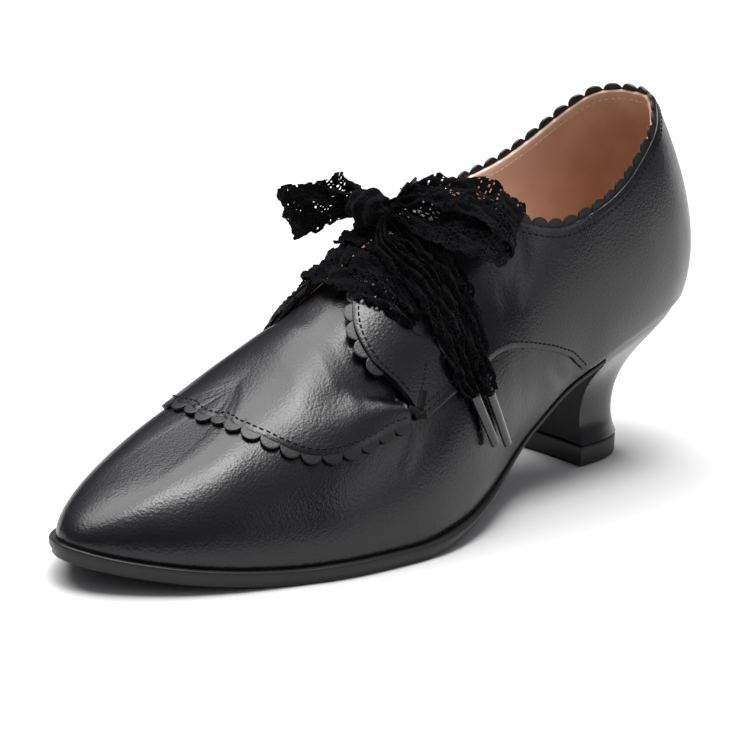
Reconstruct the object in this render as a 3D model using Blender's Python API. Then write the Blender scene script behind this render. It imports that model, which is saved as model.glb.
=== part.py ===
"""Low lace-up shoe with a spool heel, a scalloped collar and a ribbon bow.

Left shoe, standing on its sole. +X runs from heel to toe, +Y to the outer side,
+Z up. The origin is the middle of the heel's resting face. The tables and formulas
count x from the rearmost bulge of the heel, and solid() moves them to the origin.
"""
from math import cos, pi, sin

import bmesh
import bpy
import numpy as np

# Driving sizes in metres
LENGTH = 0.248             # rearmost bulge to the tip of the sole
BALL_WIDTH = 0.077         # feather line to feather line at the ball
HEEL_HEIGHT = 0.0545       # floor to the seat at the back
UPPER_RISE = 0.068         # seat to the collar at the back
TOE_SPRING = 0.009         # floor to the underside of the toe tip
SOLE_THICKNESS = 0.0050    # outsole at the ball
WAIST_THICKNESS = 0.0030   # outsole under the arch
SOLE_WELT = 0.0018         # how far the outsole stands out round the toe
SOLE_ROUND = 0.0009        # how far its lower edge draws in
LIFT_HEIGHT = 0.0070       # top lift under the heel
HEEL_BASE_LENGTH = 0.0259  # heel foot, front to back
HEEL_BASE_WIDTH = 0.0260   # heel foot, side to side
HEEL_BASE_BACK = 0.0245    # rearmost point of the heel foot
BREAST_TOP = 0.0560        # where the breast meets the arch
WALL = 0.0019              # leather and lining together
QUARTER_STEP = 0.0010      # the quarters lie this far over the vamp
QUARTER_FADE = (0.45, 0.62)  # shares of LENGTH between which the vamp comes out by that step
APRON_THICKNESS = 0.0010
INSOLE_THICKNESS = 0.0020
GAP = 0.0003               # between pieces that meet
TONGUE_DROP = 0.0009       # tongue below the facings
LAP_GAP = 0.0004           # apron above the vamp
SCALLOP_PITCH = 0.0060
SCALLOP_HEIGHT = 0.0030
SCALLOP_THICKNESS = 0.0010
RIBBON_THICKNESS = 0.0012

# The last, heel to toe. Each row is one line of the surface, from the feather
# line up to the collar or the ridge of the instep.
# foot and top: shares of LENGTH. Widths and bulges: shares of BALL_WIDTH.
# rises: shares of UPPER_RISE above the seat line. Lateral values come first.
LAST_COLUMNS = ("foot", "y_lat", "y_med", "top", "top_lat", "top_med", "rise_lat", "rise_med",
                "low_out", "low_up", "high_out", "high_down")
LAST = (
    (0.008, 0.000, 0.000, 0.085, 0.000, 0.000, 1.007, 1.007, 0.065, 0.265, 0.221, 0.382),
    (0.018, 0.117, 0.117, 0.090, 0.084, 0.084, 1.007, 1.007, 0.065, 0.265, 0.188, 0.382),
    (0.044, 0.214, 0.214, 0.110, 0.173, 0.173, 0.990, 0.990, 0.065, 0.265, 0.149, 0.382),
    (0.085, 0.279, 0.279, 0.139, 0.260, 0.260, 0.934, 0.912, 0.068, 0.265, 0.110, 0.368),
    (0.133, 0.318, 0.312, 0.181, 0.312, 0.312, 0.857, 0.835, 0.071, 0.265, 0.078, 0.338),
    (0.185, 0.338, 0.325, 0.226, 0.344, 0.338, 0.803, 0.800, 0.078, 0.265, 0.052, 0.294),
    (0.242, 0.344, 0.318, 0.274, 0.357, 0.351, 0.808, 0.820, 0.084, 0.265, 0.042, 0.265),
    (0.298, 0.331, 0.286, 0.325, 0.344, 0.338, 0.884, 0.913, 0.097, 0.294, 0.058, 0.294),
    (0.351, 0.344, 0.260, 0.371, 0.305, 0.305, 1.003, 1.022, 0.097, 0.338, 0.091, 0.324),
    (0.395, 0.383, 0.253, 0.411, 0.227, 0.234, 1.119, 1.134, 0.091, 0.397, 0.143, 0.250),
    (0.435, 0.435, 0.266, 0.446, 0.097, 0.110, 1.226, 1.233, 0.084, 0.441, 0.221, 0.118),
    (0.476, 0.487, 0.292, 0.476, 0.000, 0.000, 1.221, 1.221, 0.078, 0.441, 0.260, -0.044),
    (0.524, 0.530, 0.338, 0.524, 0.000, 0.000, 1.153, 1.153, 0.071, 0.441, 0.279, -0.049),
    (0.581, 0.556, 0.390, 0.577, 0.000, 0.000, 1.055, 1.055, 0.058, 0.426, 0.286, -0.043),
    (0.645, 0.552, 0.435, 0.629, 0.000, 0.000, 0.929, 0.929, 0.045, 0.368, 0.286, -0.022),
    (0.714, 0.526, 0.461, 0.667, 0.000, 0.000, 0.815, 0.815, 0.039, 0.309, 0.286, 0.018),
    (0.778, 0.468, 0.448, 0.695, 0.000, 0.000, 0.735, 0.735, 0.036, 0.265, 0.299, 0.053),
    (0.843, 0.396, 0.396, 0.716, 0.000, 0.000, 0.679, 0.679, 0.031, 0.228, 0.318, 0.087),
    (0.897, 0.312, 0.318, 0.731, 0.000, 0.000, 0.641, 0.641, 0.026, 0.199, 0.342, 0.115),
    (0.940, 0.214, 0.227, 0.740, 0.000, 0.000, 0.619, 0.619, 0.019, 0.176, 0.361, 0.149),
    (0.970, 0.123, 0.136, 0.745, 0.000, 0.000, 0.607, 0.607, 0.013, 0.162, 0.373, 0.185),
    (0.985, 0.052, 0.058, 0.748, 0.000, 0.000, 0.601, 0.601, 0.008, 0.150, 0.377, 0.224),
    (0.989, 0.000, 0.000, 0.748, 0.000, 0.000, 0.600, 0.600, 0.006, 0.147, 0.377, 0.232),
)

# Seat line, heel to toe: share of LENGTH, share of the seat height, share of the toe spring
SEAT_COLUMNS = ("along", "arch", "spring")
SEAT = (
    (0.000, 1.000, 0.00), (0.070, 0.925, 0.00), (0.130, 0.860, 0.00), (0.180, 0.795, 0.00),
    (0.226, 0.715, 0.00), (0.270, 0.620, 0.00), (0.350, 0.375, 0.00), (0.450, 0.155, 0.00),
    (0.540, 0.035, 0.00), (0.610, 0.000, 0.00), (0.760, 0.000, 0.00), (0.820, 0.000, 0.10),
    (0.880, 0.000, 0.29), (0.935, 0.000, 0.54), (0.970, 0.000, 0.75), (1.000, 0.000, 1.00),
)


def through(knots, values, at, steady=False):
    """Smooth curve through a table's rows. A steady one never passes its rows' values."""
    knots = np.asarray(knots, float)
    values = np.asarray(values, float)
    slopes = np.gradient(values, knots, axis=0)
    if steady:
        rise = np.diff(values, axis=0) / np.diff(knots)[:, None]
        before, after = rise[:-1], rise[1:]
        both = np.where(np.abs(before + after) > 1e-9, before + after, 1.0)
        slopes[1:-1] = np.where(before * after > 0, 2 * before * after / both, 0.0)
    at = np.clip(np.asarray(at, float), knots[0], knots[-1])
    low = np.clip(np.searchsorted(knots, at, side="right") - 1, 0, len(knots) - 2)
    span = knots[low + 1] - knots[low]
    share = (at - knots[low]) / span
    if values.ndim > 1:
        span = span[..., None]
        share = share[..., None]
    ease = share * share * (3 - 2 * share)
    return (values[low] * (1 - ease) + values[low + 1] * ease
            + slopes[low] * span * share * (1 - share) ** 2
            - slopes[low + 1] * span * share ** 2 * (1 - share))


def seat(x):
    """Height of the seat line, where the upper meets the sole and heel."""
    along, arch, spring = np.array(SEAT).T
    shares = through(along, np.stack([arch, spring], axis=1), np.asarray(x) / LENGTH, steady=True)
    return (SOLE_THICKNESS + shares[..., 0] * (HEEL_HEIGHT - SOLE_THICKNESS)
            + shares[..., 1] * TOE_SPRING)


def last_rows():
    """The last's rows in metres, once round: outer side to the toe, inner side back."""
    foot, y_lat, y_med, top, top_lat, top_med, rise_lat, rise_med, *handles = np.array(LAST).T
    rows = []
    for side, half, top_half, rise in ((1, y_lat, top_lat, rise_lat), (-1, y_med, top_med, rise_med)):
        top_x = top * LENGTH
        rows.append(np.stack([
            foot * LENGTH, side * half * BALL_WIDTH,
            top_x, side * top_half * BALL_WIDTH, seat(top_x) + rise * UPPER_RISE,
            handles[0] * BALL_WIDTH, handles[1] * UPPER_RISE,
            handles[2] * BALL_WIDTH, handles[3] * UPPER_RISE], axis=1))
    return np.concatenate([rows[0], rows[1][-2:0:-1]])


ROWS = last_rows()
TURN = len(ROWS)           # stations once round the foot
TOE = len(LAST) - 1        # station of the toe


def at_station(station):
    """Row of the last at a station, and the way out from the foot there."""
    extra = 4
    padded = np.concatenate([ROWS[-extra:], ROWS, ROWS[:extra + 1]])
    knots = np.arange(len(padded)) - extra
    station = np.mod(station, TURN)
    row = through(knots, padded, station)
    tiny = 0.02
    along = through(knots, padded[:, :2], station + tiny) - through(knots, padded[:, :2], station - tiny)
    along /= np.linalg.norm(along, axis=-1, keepdims=True)
    out = np.stack([-along[..., 1], along[..., 0]], axis=-1)
    return row, out


def last_point(station, rise):
    """Point of the last: station round the foot, rise 0 at the feather line and 1 at the top."""
    station, rise = np.broadcast_arrays(np.asarray(station, float), np.asarray(rise, float))
    row, out = at_station(station)
    foot = np.concatenate([row[..., :2], seat(row[..., 0])[..., None]], axis=-1)
    top = row[..., 2:5]
    low = foot + np.concatenate([out * row[..., 5:6], row[..., 6:7]], axis=-1)
    high = top + np.concatenate([out * row[..., 7:8], -row[..., 8:9]], axis=-1)
    t = rise[..., None]
    return ((1 - t) ** 3 * foot + 3 * (1 - t) ** 2 * t * low
            + 3 * (1 - t) * t ** 2 * high + t ** 3 * top)


def last_normal(station, rise):
    """Unit normal of the last, pointing out of the shoe."""
    step = 0.02
    up = last_point(station, rise + step) - last_point(station, rise - step)
    round_foot = last_point(station + step, rise) - last_point(station - step, rise)
    normal = np.cross(up, round_foot)
    return normal / np.linalg.norm(normal, axis=-1, keepdims=True)


def vamp_level(station):
    """The vamp lies this far in from the last's surface, so that the quarters over it are flush."""
    station = np.mod(station, TURN)
    share = np.interp(np.minimum(station, TURN - station), np.arange(TOE + 1), np.array(LAST)[:, 0])
    return -QUARTER_STEP * np.clip((QUARTER_FADE[1] - share) / (QUARTER_FADE[1] - QUARTER_FADE[0]), 0, 1)


def off_last(station, rise, away):
    """Point at a height over the vamp's level, outwards."""
    station, rise, away = np.broadcast_arrays(
        np.asarray(station, float), np.asarray(rise, float), np.asarray(away, float))
    away = away + vamp_level(station)
    return last_point(station, rise) + away[..., None] * last_normal(station, rise)


def station_at(share, side):
    """Station whose foot lies at a share of LENGTH, on the outer (1) or inner (-1) side."""
    feet = np.array(LAST)[:, 0]
    station = np.interp(share, feet, np.arange(len(feet)))
    return station if side > 0 else TURN - station


# Lines of the upper, heel to toe, on each side. A line runs from its foot to the
# quarter seam, and on to the collar, the facing edge or the vamp's edge under the
# apron. Shares of LENGTH name a line of the last, and rises run from 0 to 1 on it.
UPPER_COLUMNS = ("foot", "seam", "seam_rise", "top", "top_rise", "step")
UPPER = (
    (0.008, 0.008, 0.020, 0.008, 0.970, 1), (0.018, 0.018, 0.020, 0.018, 0.970, 1),
    (0.044, 0.044, 0.020, 0.044, 0.970, 1), (0.085, 0.085, 0.020, 0.085, 0.968, 1),
    (0.133, 0.133, 0.020, 0.133, 0.965, 1), (0.180, 0.180, 0.020, 0.180, 0.965, 1),
    (0.222, 0.224, 0.025, 0.222, 0.965, 1), (0.258, 0.264, 0.040, 0.256, 0.965, 1),
    (0.278, 0.285, 0.140, 0.278, 0.965, 1), (0.298, 0.310, 0.275, 0.298, 0.965, 1),
    (0.330, 0.345, 0.380, 0.328, 0.965, 1), (0.372, 0.386, 0.410, 0.365, 0.965, 1),
    (0.415, 0.430, 0.398, 0.402, 0.965, 1), (0.452, 0.476, 0.384, 0.436, 0.945, 1),
    (0.482, 0.510, 0.383, 0.497, 0.875, 1), (0.508, 0.533, 0.383, 0.558, 0.875, 1),
    (0.530, 0.552, 0.383, 0.607, 0.850, 1), (0.548, 0.567, 0.380, 0.635, 0.750, 1),
    (0.564, 0.578, 0.377, 0.636, 0.620, 1), (0.578, 0.586, 0.374, 0.616, 0.500, 1),
    (0.590, 0.592, 0.372, 0.603, 0.415, 1), (0.604, 0.604, 0.345, 0.608, 0.392, 0),
    (0.622, 0.622, 0.360, 0.622, 0.415, 0), (0.645, 0.645, 0.380, 0.645, 0.440, 0),
    (0.675, 0.675, 0.400, 0.675, 0.468, 0), (0.707, 0.707, 0.425, 0.707, 0.488, 0),
    (0.740, 0.740, 0.450, 0.740, 0.512, 0), (0.775, 0.775, 0.490, 0.775, 0.555, 0),
    (0.810, 0.810, 0.550, 0.810, 0.622, 0), (0.850, 0.850, 0.630, 0.850, 0.700, 0),
    (0.890, 0.890, 0.710, 0.890, 0.775, 0), (0.930, 0.930, 0.785, 0.930, 0.840, 0),
    (0.965, 0.965, 0.835, 0.965, 0.885, 0), (0.988, 0.988, 0.850, 0.988, 0.905, 0),
)
COLLAR_CORNER = 13         # line where the collar turns down the facing
FACING_END = 18.5          # line where the facing's scallops stop

# Lines of the apron and tongue, from the tongue's end to the toe. Levels say where
# the leather lies: 1 over the vamp, -1 under the facings. It lies flat on the vamp for
# the lap, a rise from the edge, and has reached its inner level at the ease.
APRON_COLUMNS = ("ridge", "edge", "edge_rise", "edge_level", "lap_level", "inner_level", "lap", "ease")
APRON = (
    (0.425, 0.425, 0.900, -1.0, -1.0, -1.00, 0.010, 0.030),
    (0.455, 0.455, 0.860, -1.0, -1.0, -1.00, 0.010, 0.030),
    (0.485, 0.485, 0.835, -1.0, -1.0, -1.00, 0.010, 0.040),
    (0.515, 0.515, 0.800, -1.0, -1.0, -1.00, 0.020, 0.060),
    (0.545, 0.545, 0.755, -1.0, -1.0, -1.00, 0.020, 0.060),
    (0.572, 0.568, 0.700, -1.0, -1.0, -1.00, 0.020, 0.080),
    (0.595, 0.584, 0.610, -1.0, -1.0, -1.00, 0.030, 0.100),
    (0.612, 0.592, 0.510, -1.0, -1.0, -1.00, 0.030, 0.100),
    (0.624, 0.598, 0.440, -1.0, -1.0, -1.00, 0.020, 0.080),
    (0.632, 0.607, 0.412, -1.0, -1.0, -1.00, 0.010, 0.040),
    (0.636, 0.6105, 0.425, -0.3, -0.4, -1.00, 0.004, 0.040),
    (0.639, 0.6125, 0.420, 0.8, 0.7, -1.00, 0.006, 0.046),
    (0.642, 0.6135, 0.406, 1.0, 1.0, -1.00, 0.020, 0.062),
    (0.646, 0.615, 0.386, 1.0, 1.0, -1.00, 0.037, 0.080),
    (0.654, 0.626, 0.392, 1.0, 1.0, -0.95, 0.045, 0.100),
    (0.664, 0.642, 0.398, 1.0, 1.0, -0.85, 0.055, 0.130),
    (0.677, 0.662, 0.398, 1.0, 1.0, -0.60, 0.065, 0.170),
    (0.694, 0.686, 0.402, 1.0, 1.0, -0.20, 0.075, 0.210),
    (0.714, 0.711, 0.413, 1.0, 1.0, 0.20, 0.075, 0.210),
    (0.738, 0.738, 0.434, 1.0, 1.0, 0.60, 0.075, 0.210),
    (0.768, 0.768, 0.475, 1.0, 1.0, 0.90, 0.075, 0.210),
    (0.803, 0.803, 0.541, 1.0, 1.0, 1.00, 0.075, 0.200),
    (0.842, 0.842, 0.622, 1.0, 1.0, 1.00, 0.075, 0.180),
    (0.880, 0.880, 0.697, 1.0, 1.0, 1.00, 0.070, 0.150),
    (0.920, 0.920, 0.772, 1.0, 1.0, 1.00, 0.055, 0.120),
    (0.955, 0.955, 0.834, 1.0, 1.0, 1.00, 0.040, 0.090),
    (0.978, 0.978, 0.866, 1.0, 1.0, 1.00, 0.030, 0.070),
    (0.988, 0.988, 0.876, 1.0, 1.0, 1.00, 0.030, 0.070),
)
APRON_START = 13           # line where the apron's scallops begin

# Colours: base colour, metallic, roughness
FINISHES = {
    "leather": ((0.012, 0.012, 0.014, 1), 0.0, 0.38),
    "lining": ((0.62, 0.43, 0.31, 1), 0.0, 0.6),
    "sole": ((0.010, 0.010, 0.011, 1), 0.0, 0.5),
    "edging": ((0.015, 0.015, 0.017, 1), 0.0, 0.45),
    "lace": ((0.008, 0.008, 0.009, 1), 0.0, 0.9),
    "aglet": ((0.10, 0.10, 0.11, 1), 0.0, 0.25),
}


def clear_scene():
    for item in list(bpy.data.objects):
        bpy.data.objects.remove(item, do_unlink=True)


def finish_material(name, finish):
    colour, metallic, roughness = FINISHES[finish]
    material = bpy.data.materials.new(name)
    material.use_nodes = True
    shader = material.node_tree.nodes["Principled BSDF"]
    shader.inputs["Base Color"].default_value = colour
    shader.inputs["Metallic"].default_value = metallic
    shader.inputs["Roughness"].default_value = roughness
    return material


def solid(name, points, faces, finish, sharp=35):
    """One closed mesh object with its own material."""
    mesh = bpy.data.meshes.new(name)
    middle = (HEEL_BASE_BACK + HEEL_BASE_LENGTH / 2, 0, 0)
    mesh.from_pydata([tuple(point - middle) for point in np.asarray(points, float)], [], faces)
    build = bmesh.new()
    build.from_mesh(mesh)
    bmesh.ops.remove_doubles(build, verts=build.verts, dist=1e-6)
    bmesh.ops.dissolve_degenerate(build, edges=build.edges, dist=1e-7)
    bmesh.ops.triangulate(build, faces=build.faces)
    bmesh.ops.recalc_face_normals(build, faces=build.faces)
    build.to_mesh(mesh)
    build.free()
    mesh.shade_smooth()
    mesh.set_sharp_from_angle(angle=sharp * pi / 180)
    piece = bpy.data.objects.new(name, mesh)
    piece.data.materials.append(finish_material(name, finish))
    bpy.context.scene.collection.objects.link(piece)
    return piece


def ring_solid(name, rings, finish, closed=False, **options):
    """Solid from closed rings of points, joined in order. Ends are capped unless it closes."""
    rings = np.asarray(rings, float)
    count, size = rings.shape[:2]
    faces = []
    for index in range(count if closed else count - 1):
        after = (index + 1) % count
        for corner in range(size):
            ahead = (corner + 1) % size
            faces.append((index * size + corner, index * size + ahead,
                          after * size + ahead, after * size + corner))
    if not closed:
        faces.append(tuple(range(size)))
        faces.append(tuple((count - 1) * size + corner for corner in range(size)))
    return solid(name, rings.reshape(-1, 3), faces, finish, **options)


def both_sides(table, steps):
    """A table's rows with rows between them, as outer side then inner side."""
    table = np.array(table, float)
    at = np.linspace(0, len(table) - 1, steps)
    rows = through(np.arange(len(table)), table, at)
    return [(1, row) for row in rows] + [(-1, row) for row in rows[-2:0:-1]]


def make_upper():
    """One shell: vamp, raised quarters with their facings, and the inside."""
    foot_steps, quarter_steps, inner_steps = 5, 6, 7
    rings = []
    for side, row in both_sides(UPPER, 2 * len(UPPER) - 1):
        foot, seam, seam_rise, top, top_rise, step = row
        start = station_at(foot, side)
        middle = station_at(seam, side)
        end = station_at(top, side)
        raised = QUARTER_STEP * min(max(step, 0), 1)
        share = np.linspace(0, 1, foot_steps)
        outside = off_last(start + (middle - start) * share, seam_rise * share, 0.0)
        share = np.linspace(0.035, 1, quarter_steps)
        quarter = off_last(middle + (end - middle) * share,
                           seam_rise + (top_rise - seam_rise) * share, raised)
        share = np.linspace(1, 0, inner_steps)
        bend = 4 * share * (1 - share)
        on_seam = seam_rise / top_rise
        station = start + (end - start) * share + (middle - start - (end - start) * on_seam) * bend
        inside = off_last(station, top_rise * share, -WALL)
        rings.append(np.concatenate([outside, quarter, inside]))
    return ring_solid("upper", rings, "leather", closed=True, sharp=30)


def level_height(level):
    """Outer surface of the apron at a level, from the last."""
    over = LAP_GAP + APRON_THICKNESS
    under = -(WALL + TONGUE_DROP)
    return over * level if level > 0 else -under * level


def make_apron():
    """Apron over the vamp that runs back as the tongue under the facings."""
    inner_steps = 5
    across = 3 + inner_steps
    outer_rows = []
    inner_rows = []
    for ridge, edge, edge_rise, edge_level, lap_level, inner_level, lap_end, ease_end in APRON:
        outer = []
        inner = []
        for side in (1, -1):
            past = np.concatenate([[0, lap_end, (lap_end + ease_end) / 2],
                                   np.linspace(ease_end, 1 - edge_rise, inner_steps + 1)])
            rise = edge_rise + past
            share = past / (1 - edge_rise)
            station = station_at(edge, side) + (station_at(ridge, side) - station_at(edge, side)) * share
            lap = np.clip(past / lap_end, 0, 1)
            ease = np.clip((past - lap_end) / (ease_end - lap_end), 0, 1)
            ease = ease * ease * (3 - 2 * ease)
            levels = (edge_level + (lap_level - edge_level) * lap) * (1 - ease) + inner_level * ease
            heights = np.array([level_height(level) for level in levels])
            near_ridge = np.minimum(rise, 0.995)
            outer.append(off_last(station, near_ridge, heights))
            inner.append(off_last(station, near_ridge, heights - APRON_THICKNESS))
        middle = (outer[0][-1] + outer[1][-1]) / 2
        below = (inner[0][-1] + inner[1][-1]) / 2
        outer_rows.append(np.concatenate([outer[0][:-1], [middle], outer[1][:-1][::-1]]))
        inner_rows.append(np.concatenate([inner[0][:-1], [below], inner[1][:-1][::-1]]))
    outer_rows[-1][across + 1:] = outer_rows[-1][:across][::-1]
    inner_rows[-1][across + 1:] = inner_rows[-1][:across][::-1]
    wide = 2 * across + 1
    points = np.concatenate([np.array(outer_rows).reshape(-1, 3), np.array(inner_rows).reshape(-1, 3)])
    under = len(APRON) * wide
    faces = []
    for line in range(len(APRON) - 1):
        for step in range(wide - 1):
            near = line * wide + step
            far = near + wide
            faces.append((near, near + 1, far + 1, far))
            faces.append((under + near, under + far, under + far + 1, under + near + 1))
        for near in (line * wide, line * wide + wide - 1):
            faces.append((near, near + wide, under + near + wide, under + near))
    for near in range(wide - 1):
        faces.append((near, near + 1, under + near + 1, under + near))
    return solid("apron_tongue", points, faces, "leather", sharp=40)


def make_outsole():
    """Thin sole from the heel's breast to the toe."""
    count, inner = 29, 3
    front = station_at((BREAST_TOP + GAP) / LENGTH, 1)
    place = np.linspace(0, 1, count)
    stations = front + (TOE - front) * place
    rings = []
    for station in stations:
        row_pair = []
        for at in (station, TURN - station):
            row, out = at_station(at)
            welt = SOLE_WELT * np.clip((row[0] / LENGTH - 0.42) / 0.14, -0.5, 1)
            row_pair.append((row[:2] + out * welt, row[:2] + out * (welt - SOLE_ROUND)))
        top = [row_pair[0][0] + (row_pair[1][0] - row_pair[0][0]) * k / (inner + 1) for k in range(inner + 2)]
        low = [row_pair[0][1] + (row_pair[1][1] - row_pair[0][1]) * k / (inner + 1) for k in range(inner + 2)]
        upper_side = [(x, y, seat(x) - GAP) for x, y in top]
        lower_side = [(x, y, sole_bottom(x)) for x, y in low[::-1]]
        rings.append(upper_side + lower_side)
    rings = np.array(rings)
    return ring_solid("outsole", rings, "sole", sharp=40)


def sole_bottom(x):
    """Underside of the outsole: flat at the ball, thinner under the arch."""
    share = np.clip((0.60 - x / LENGTH) / 0.12, 0, 1)
    thick = SOLE_THICKNESS + (WAIST_THICKNESS - SOLE_THICKNESS) * share
    return seat(x) - thick


# Heel sections, foot to seat: share of the height, and how far the back, the sides
# and the breast have moved from the heel's foot to its seat. Below 0 is the waist.
HEEL_COLUMNS = ("height", "back", "side", "breast")
HEEL = (
    (0.00, 0.00, 0.00, 0.00), (0.08, -0.12, -0.09, 0.50), (0.18, -0.20, -0.18, 0.90),
    (0.30, -0.22, -0.20, 1.20), (0.42, -0.18, -0.14, 1.40), (0.55, 0.05, 0.00, 1.40),
    (0.67, 0.39, 0.22, 1.20), (0.79, 0.73, 0.52, 0.80), (0.90, 0.92, 0.82, 0.30),
    (1.00, 1.00, 1.00, 0.00),
)
HEEL_WAIST = 0.0020        # how far the breast draws back above its foot
HEEL_BLUNT = 0.78          # how square the back of the D is, 1 for an ellipse
BREAST_HOLLOW = 0.0008
HEEL_INSET = 0.0012        # heel inside the feather line at the seat
HEEL_SIDES = 22
BREAST_SIDES = 4


def heel_outline(share, back, front, half):
    """One point of a D: share 0 to 0.5 round the back, 0.5 to 1 across the breast."""
    if share < 0.5:
        turn = share * 2 * pi
        reach = sin(turn) ** HEEL_BLUNT
        return front - (front - back) * reach, half * cos(turn)
    across = (share - 0.5) * 2
    return front - BREAST_HOLLOW * 4 * across * (1 - across), half * (2 * across - 1)


def seat_outline(share):
    """The same D where the heel meets the seat, just inside the feather line."""
    front = station_at(BREAST_TOP / LENGTH, 1)
    station = front * (1 - 4 * share) if share < 0.5 else front
    row, out = at_station(station)
    x, y = row[:2] - out * HEEL_INSET
    if share < 0.5:
        return x, y
    return x, abs(y) * (2 * (share - 0.5) * 2 - 1)


def heel_turns():
    """Shares round the heel, back first and then the breast."""
    return ([k / (2 * HEEL_SIDES) for k in range(HEEL_SIDES)]
            + [0.5 + k / (2 * BREAST_SIDES) for k in range(BREAST_SIDES)])


def heel_solid(name, rings, finish):
    """Closed stack of D rings, capped in strips from side to side."""
    size = HEEL_SIDES + BREAST_SIDES
    faces = []
    for index in range(len(rings) - 1):
        for corner in range(size):
            ahead = (corner + 1) % size
            faces.append((index * size + corner, index * size + ahead,
                          (index + 1) * size + ahead, (index + 1) * size + corner))
    for start in (0, (len(rings) - 1) * size):
        for k in range(HEEL_SIDES // 2):
            across = HEEL_SIDES - k
            faces.append((start + k, start + k + 1, start + across - 1, start + across))
        faces.append(tuple(start + k % size for k in range(HEEL_SIDES, size + 1)))
    return solid(name, np.array(rings).reshape(-1, 3), faces, finish, sharp=42)


def make_heel():
    """Waisted spool heel under the seat, with sharp edges at the breast."""
    rings = []
    for height, back, side, breast in through(np.arange(len(HEEL)), HEEL, np.linspace(0, len(HEEL) - 1, 14)):
        ring = []
        for share in heel_turns():
            foot = heel_outline(share, HEEL_BASE_BACK, HEEL_BASE_BACK + HEEL_BASE_LENGTH, HEEL_BASE_WIDTH / 2)
            crown = seat_outline(share)
            rear = sin(share * 2 * pi) if share < 0.5 else 0.0
            x = (foot[0] + (crown[0] - foot[0]) * (back * rear + height * (1 - rear))
                 - HEEL_WAIST * breast * (1 - rear))
            y = foot[1] + (crown[1] - foot[1]) * side
            low = LIFT_HEIGHT + GAP
            ring.append((x, y, low + (seat(crown[0]) - GAP - low) * height))
        rings.append(ring)
    return heel_solid("heel", rings, "leather")


def make_lift():
    """Top lift under the heel."""
    rings = []
    for height, draw in ((0.0, 0.0006), (0.0008, 0.0), (LIFT_HEIGHT, 0.0003)):
        rings.append([(*heel_outline(share, HEEL_BASE_BACK + draw, HEEL_BASE_BACK + HEEL_BASE_LENGTH - draw,
                                     HEEL_BASE_WIDTH / 2 - draw), height) for share in heel_turns()])
    return heel_solid("heel_lift", rings, "sole")


def make_insole():
    """Lined sock on the inside bottom."""
    count, inner = 27, 2
    rings = []
    for station in np.linspace(0.5, TOE - 1.7, count):
        pair = []
        for at in (station, TURN - station):
            row, out = at_station(at)
            pair.append(row[:2] - out * (WALL + 2 * GAP - vamp_level(at)))
        line = [pair[0] + (pair[1] - pair[0]) * k / (inner + 1) for k in range(inner + 2)]
        rings.append([(x, y, seat(x) + INSOLE_THICKNESS) for x, y in line]
                     + [(x, y, seat(x)) for x, y in line[::-1]])
    return ring_solid("insole", rings, "lining")


def scallops(name, path, out, normal, clear=1.5 * GAP):
    """Edging strip with half-round scallops along a path."""
    steps = np.linalg.norm(np.diff(path, axis=0), axis=1)
    length = np.concatenate([[0], np.cumsum(steps)])
    number = max(1, round(length[-1] / SCALLOP_PITCH))
    per = 4
    at = np.linspace(0, length[-1], number * per + 1)
    rings = []
    for index, place in enumerate(at):
        point, away, up = (np.array([np.interp(place, length, line[:, axis]) for axis in range(3)])
                           for line in (path, out, normal))
        phase = (index % per) / per
        crest = SCALLOP_HEIGHT * (0.42 + 0.58 * (1 - (2 * phase - 1) ** 2) ** 0.5)
        near = point + away * clear
        far = point + away * (clear + crest)
        lift = up * SCALLOP_THICKNESS / 2
        rings.append([near + lift, far + lift, far - lift, near - lift])
    return ring_solid(name, rings, "edging", sharp=50)


def edge_frames(stations, rises, height, outward):
    """Path on the last with its outward direction in the surface and its normal."""
    path = off_last(stations, rises, height)
    normal = last_normal(stations, rises)
    along = np.gradient(path, axis=0)
    out = np.cross(along, normal) * outward
    return path, out / np.linalg.norm(out, axis=1, keepdims=True), normal


def edge_line(table, columns, first, last, step=0.5):
    """Shares and rises along an edge, at the same places as the piece's own corners."""
    table = np.array(table)
    rows = through(np.arange(len(table)), table, np.arange(first, last + step / 2, step))
    return rows[:, columns]


def round_the_foot(line):
    """Stations and rises along an edge on the outer side, then back on the inner side."""
    stations = [station_at(share, 1) for share in line[:, 0]]
    stations += [station_at(share, -1) for share in line[-2::-1, 0]]
    return np.array(stations), np.concatenate([line[:, 1], line[-2::-1, 1]])


def make_edgings():
    """Scalloped strips along the collar, the facings and the apron."""
    middle = (QUARTER_STEP - WALL) / 2
    shares, rises = edge_line(UPPER, (3, 4), 0, COLLAR_CORNER).T
    stations = np.array([station_at(share, 1) for share in shares])
    stations = np.concatenate([stations[::-1], -stations[1:]])
    rises = np.concatenate([rises[::-1], rises[1:]])
    scallops("collar_trim", *edge_frames(stations, rises, middle, -1))
    shares, rises = edge_line(UPPER, (3, 4), COLLAR_CORNER + 0.5, FACING_END).T
    for name, side in (("facing_trim_left", 1), ("facing_trim_right", -1)):
        stations = np.array([station_at(share, side) for share in shares])
        scallops(name, *edge_frames(stations, rises, middle, side))
    stations, rises = round_the_foot(edge_line(APRON, (1, 2), APRON_START, len(APRON) - 1, step=1))
    scallops("apron_trim", *edge_frames(stations, rises, LAP_GAP + APRON_THICKNESS / 2, -1), clear=2 * GAP)


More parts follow.
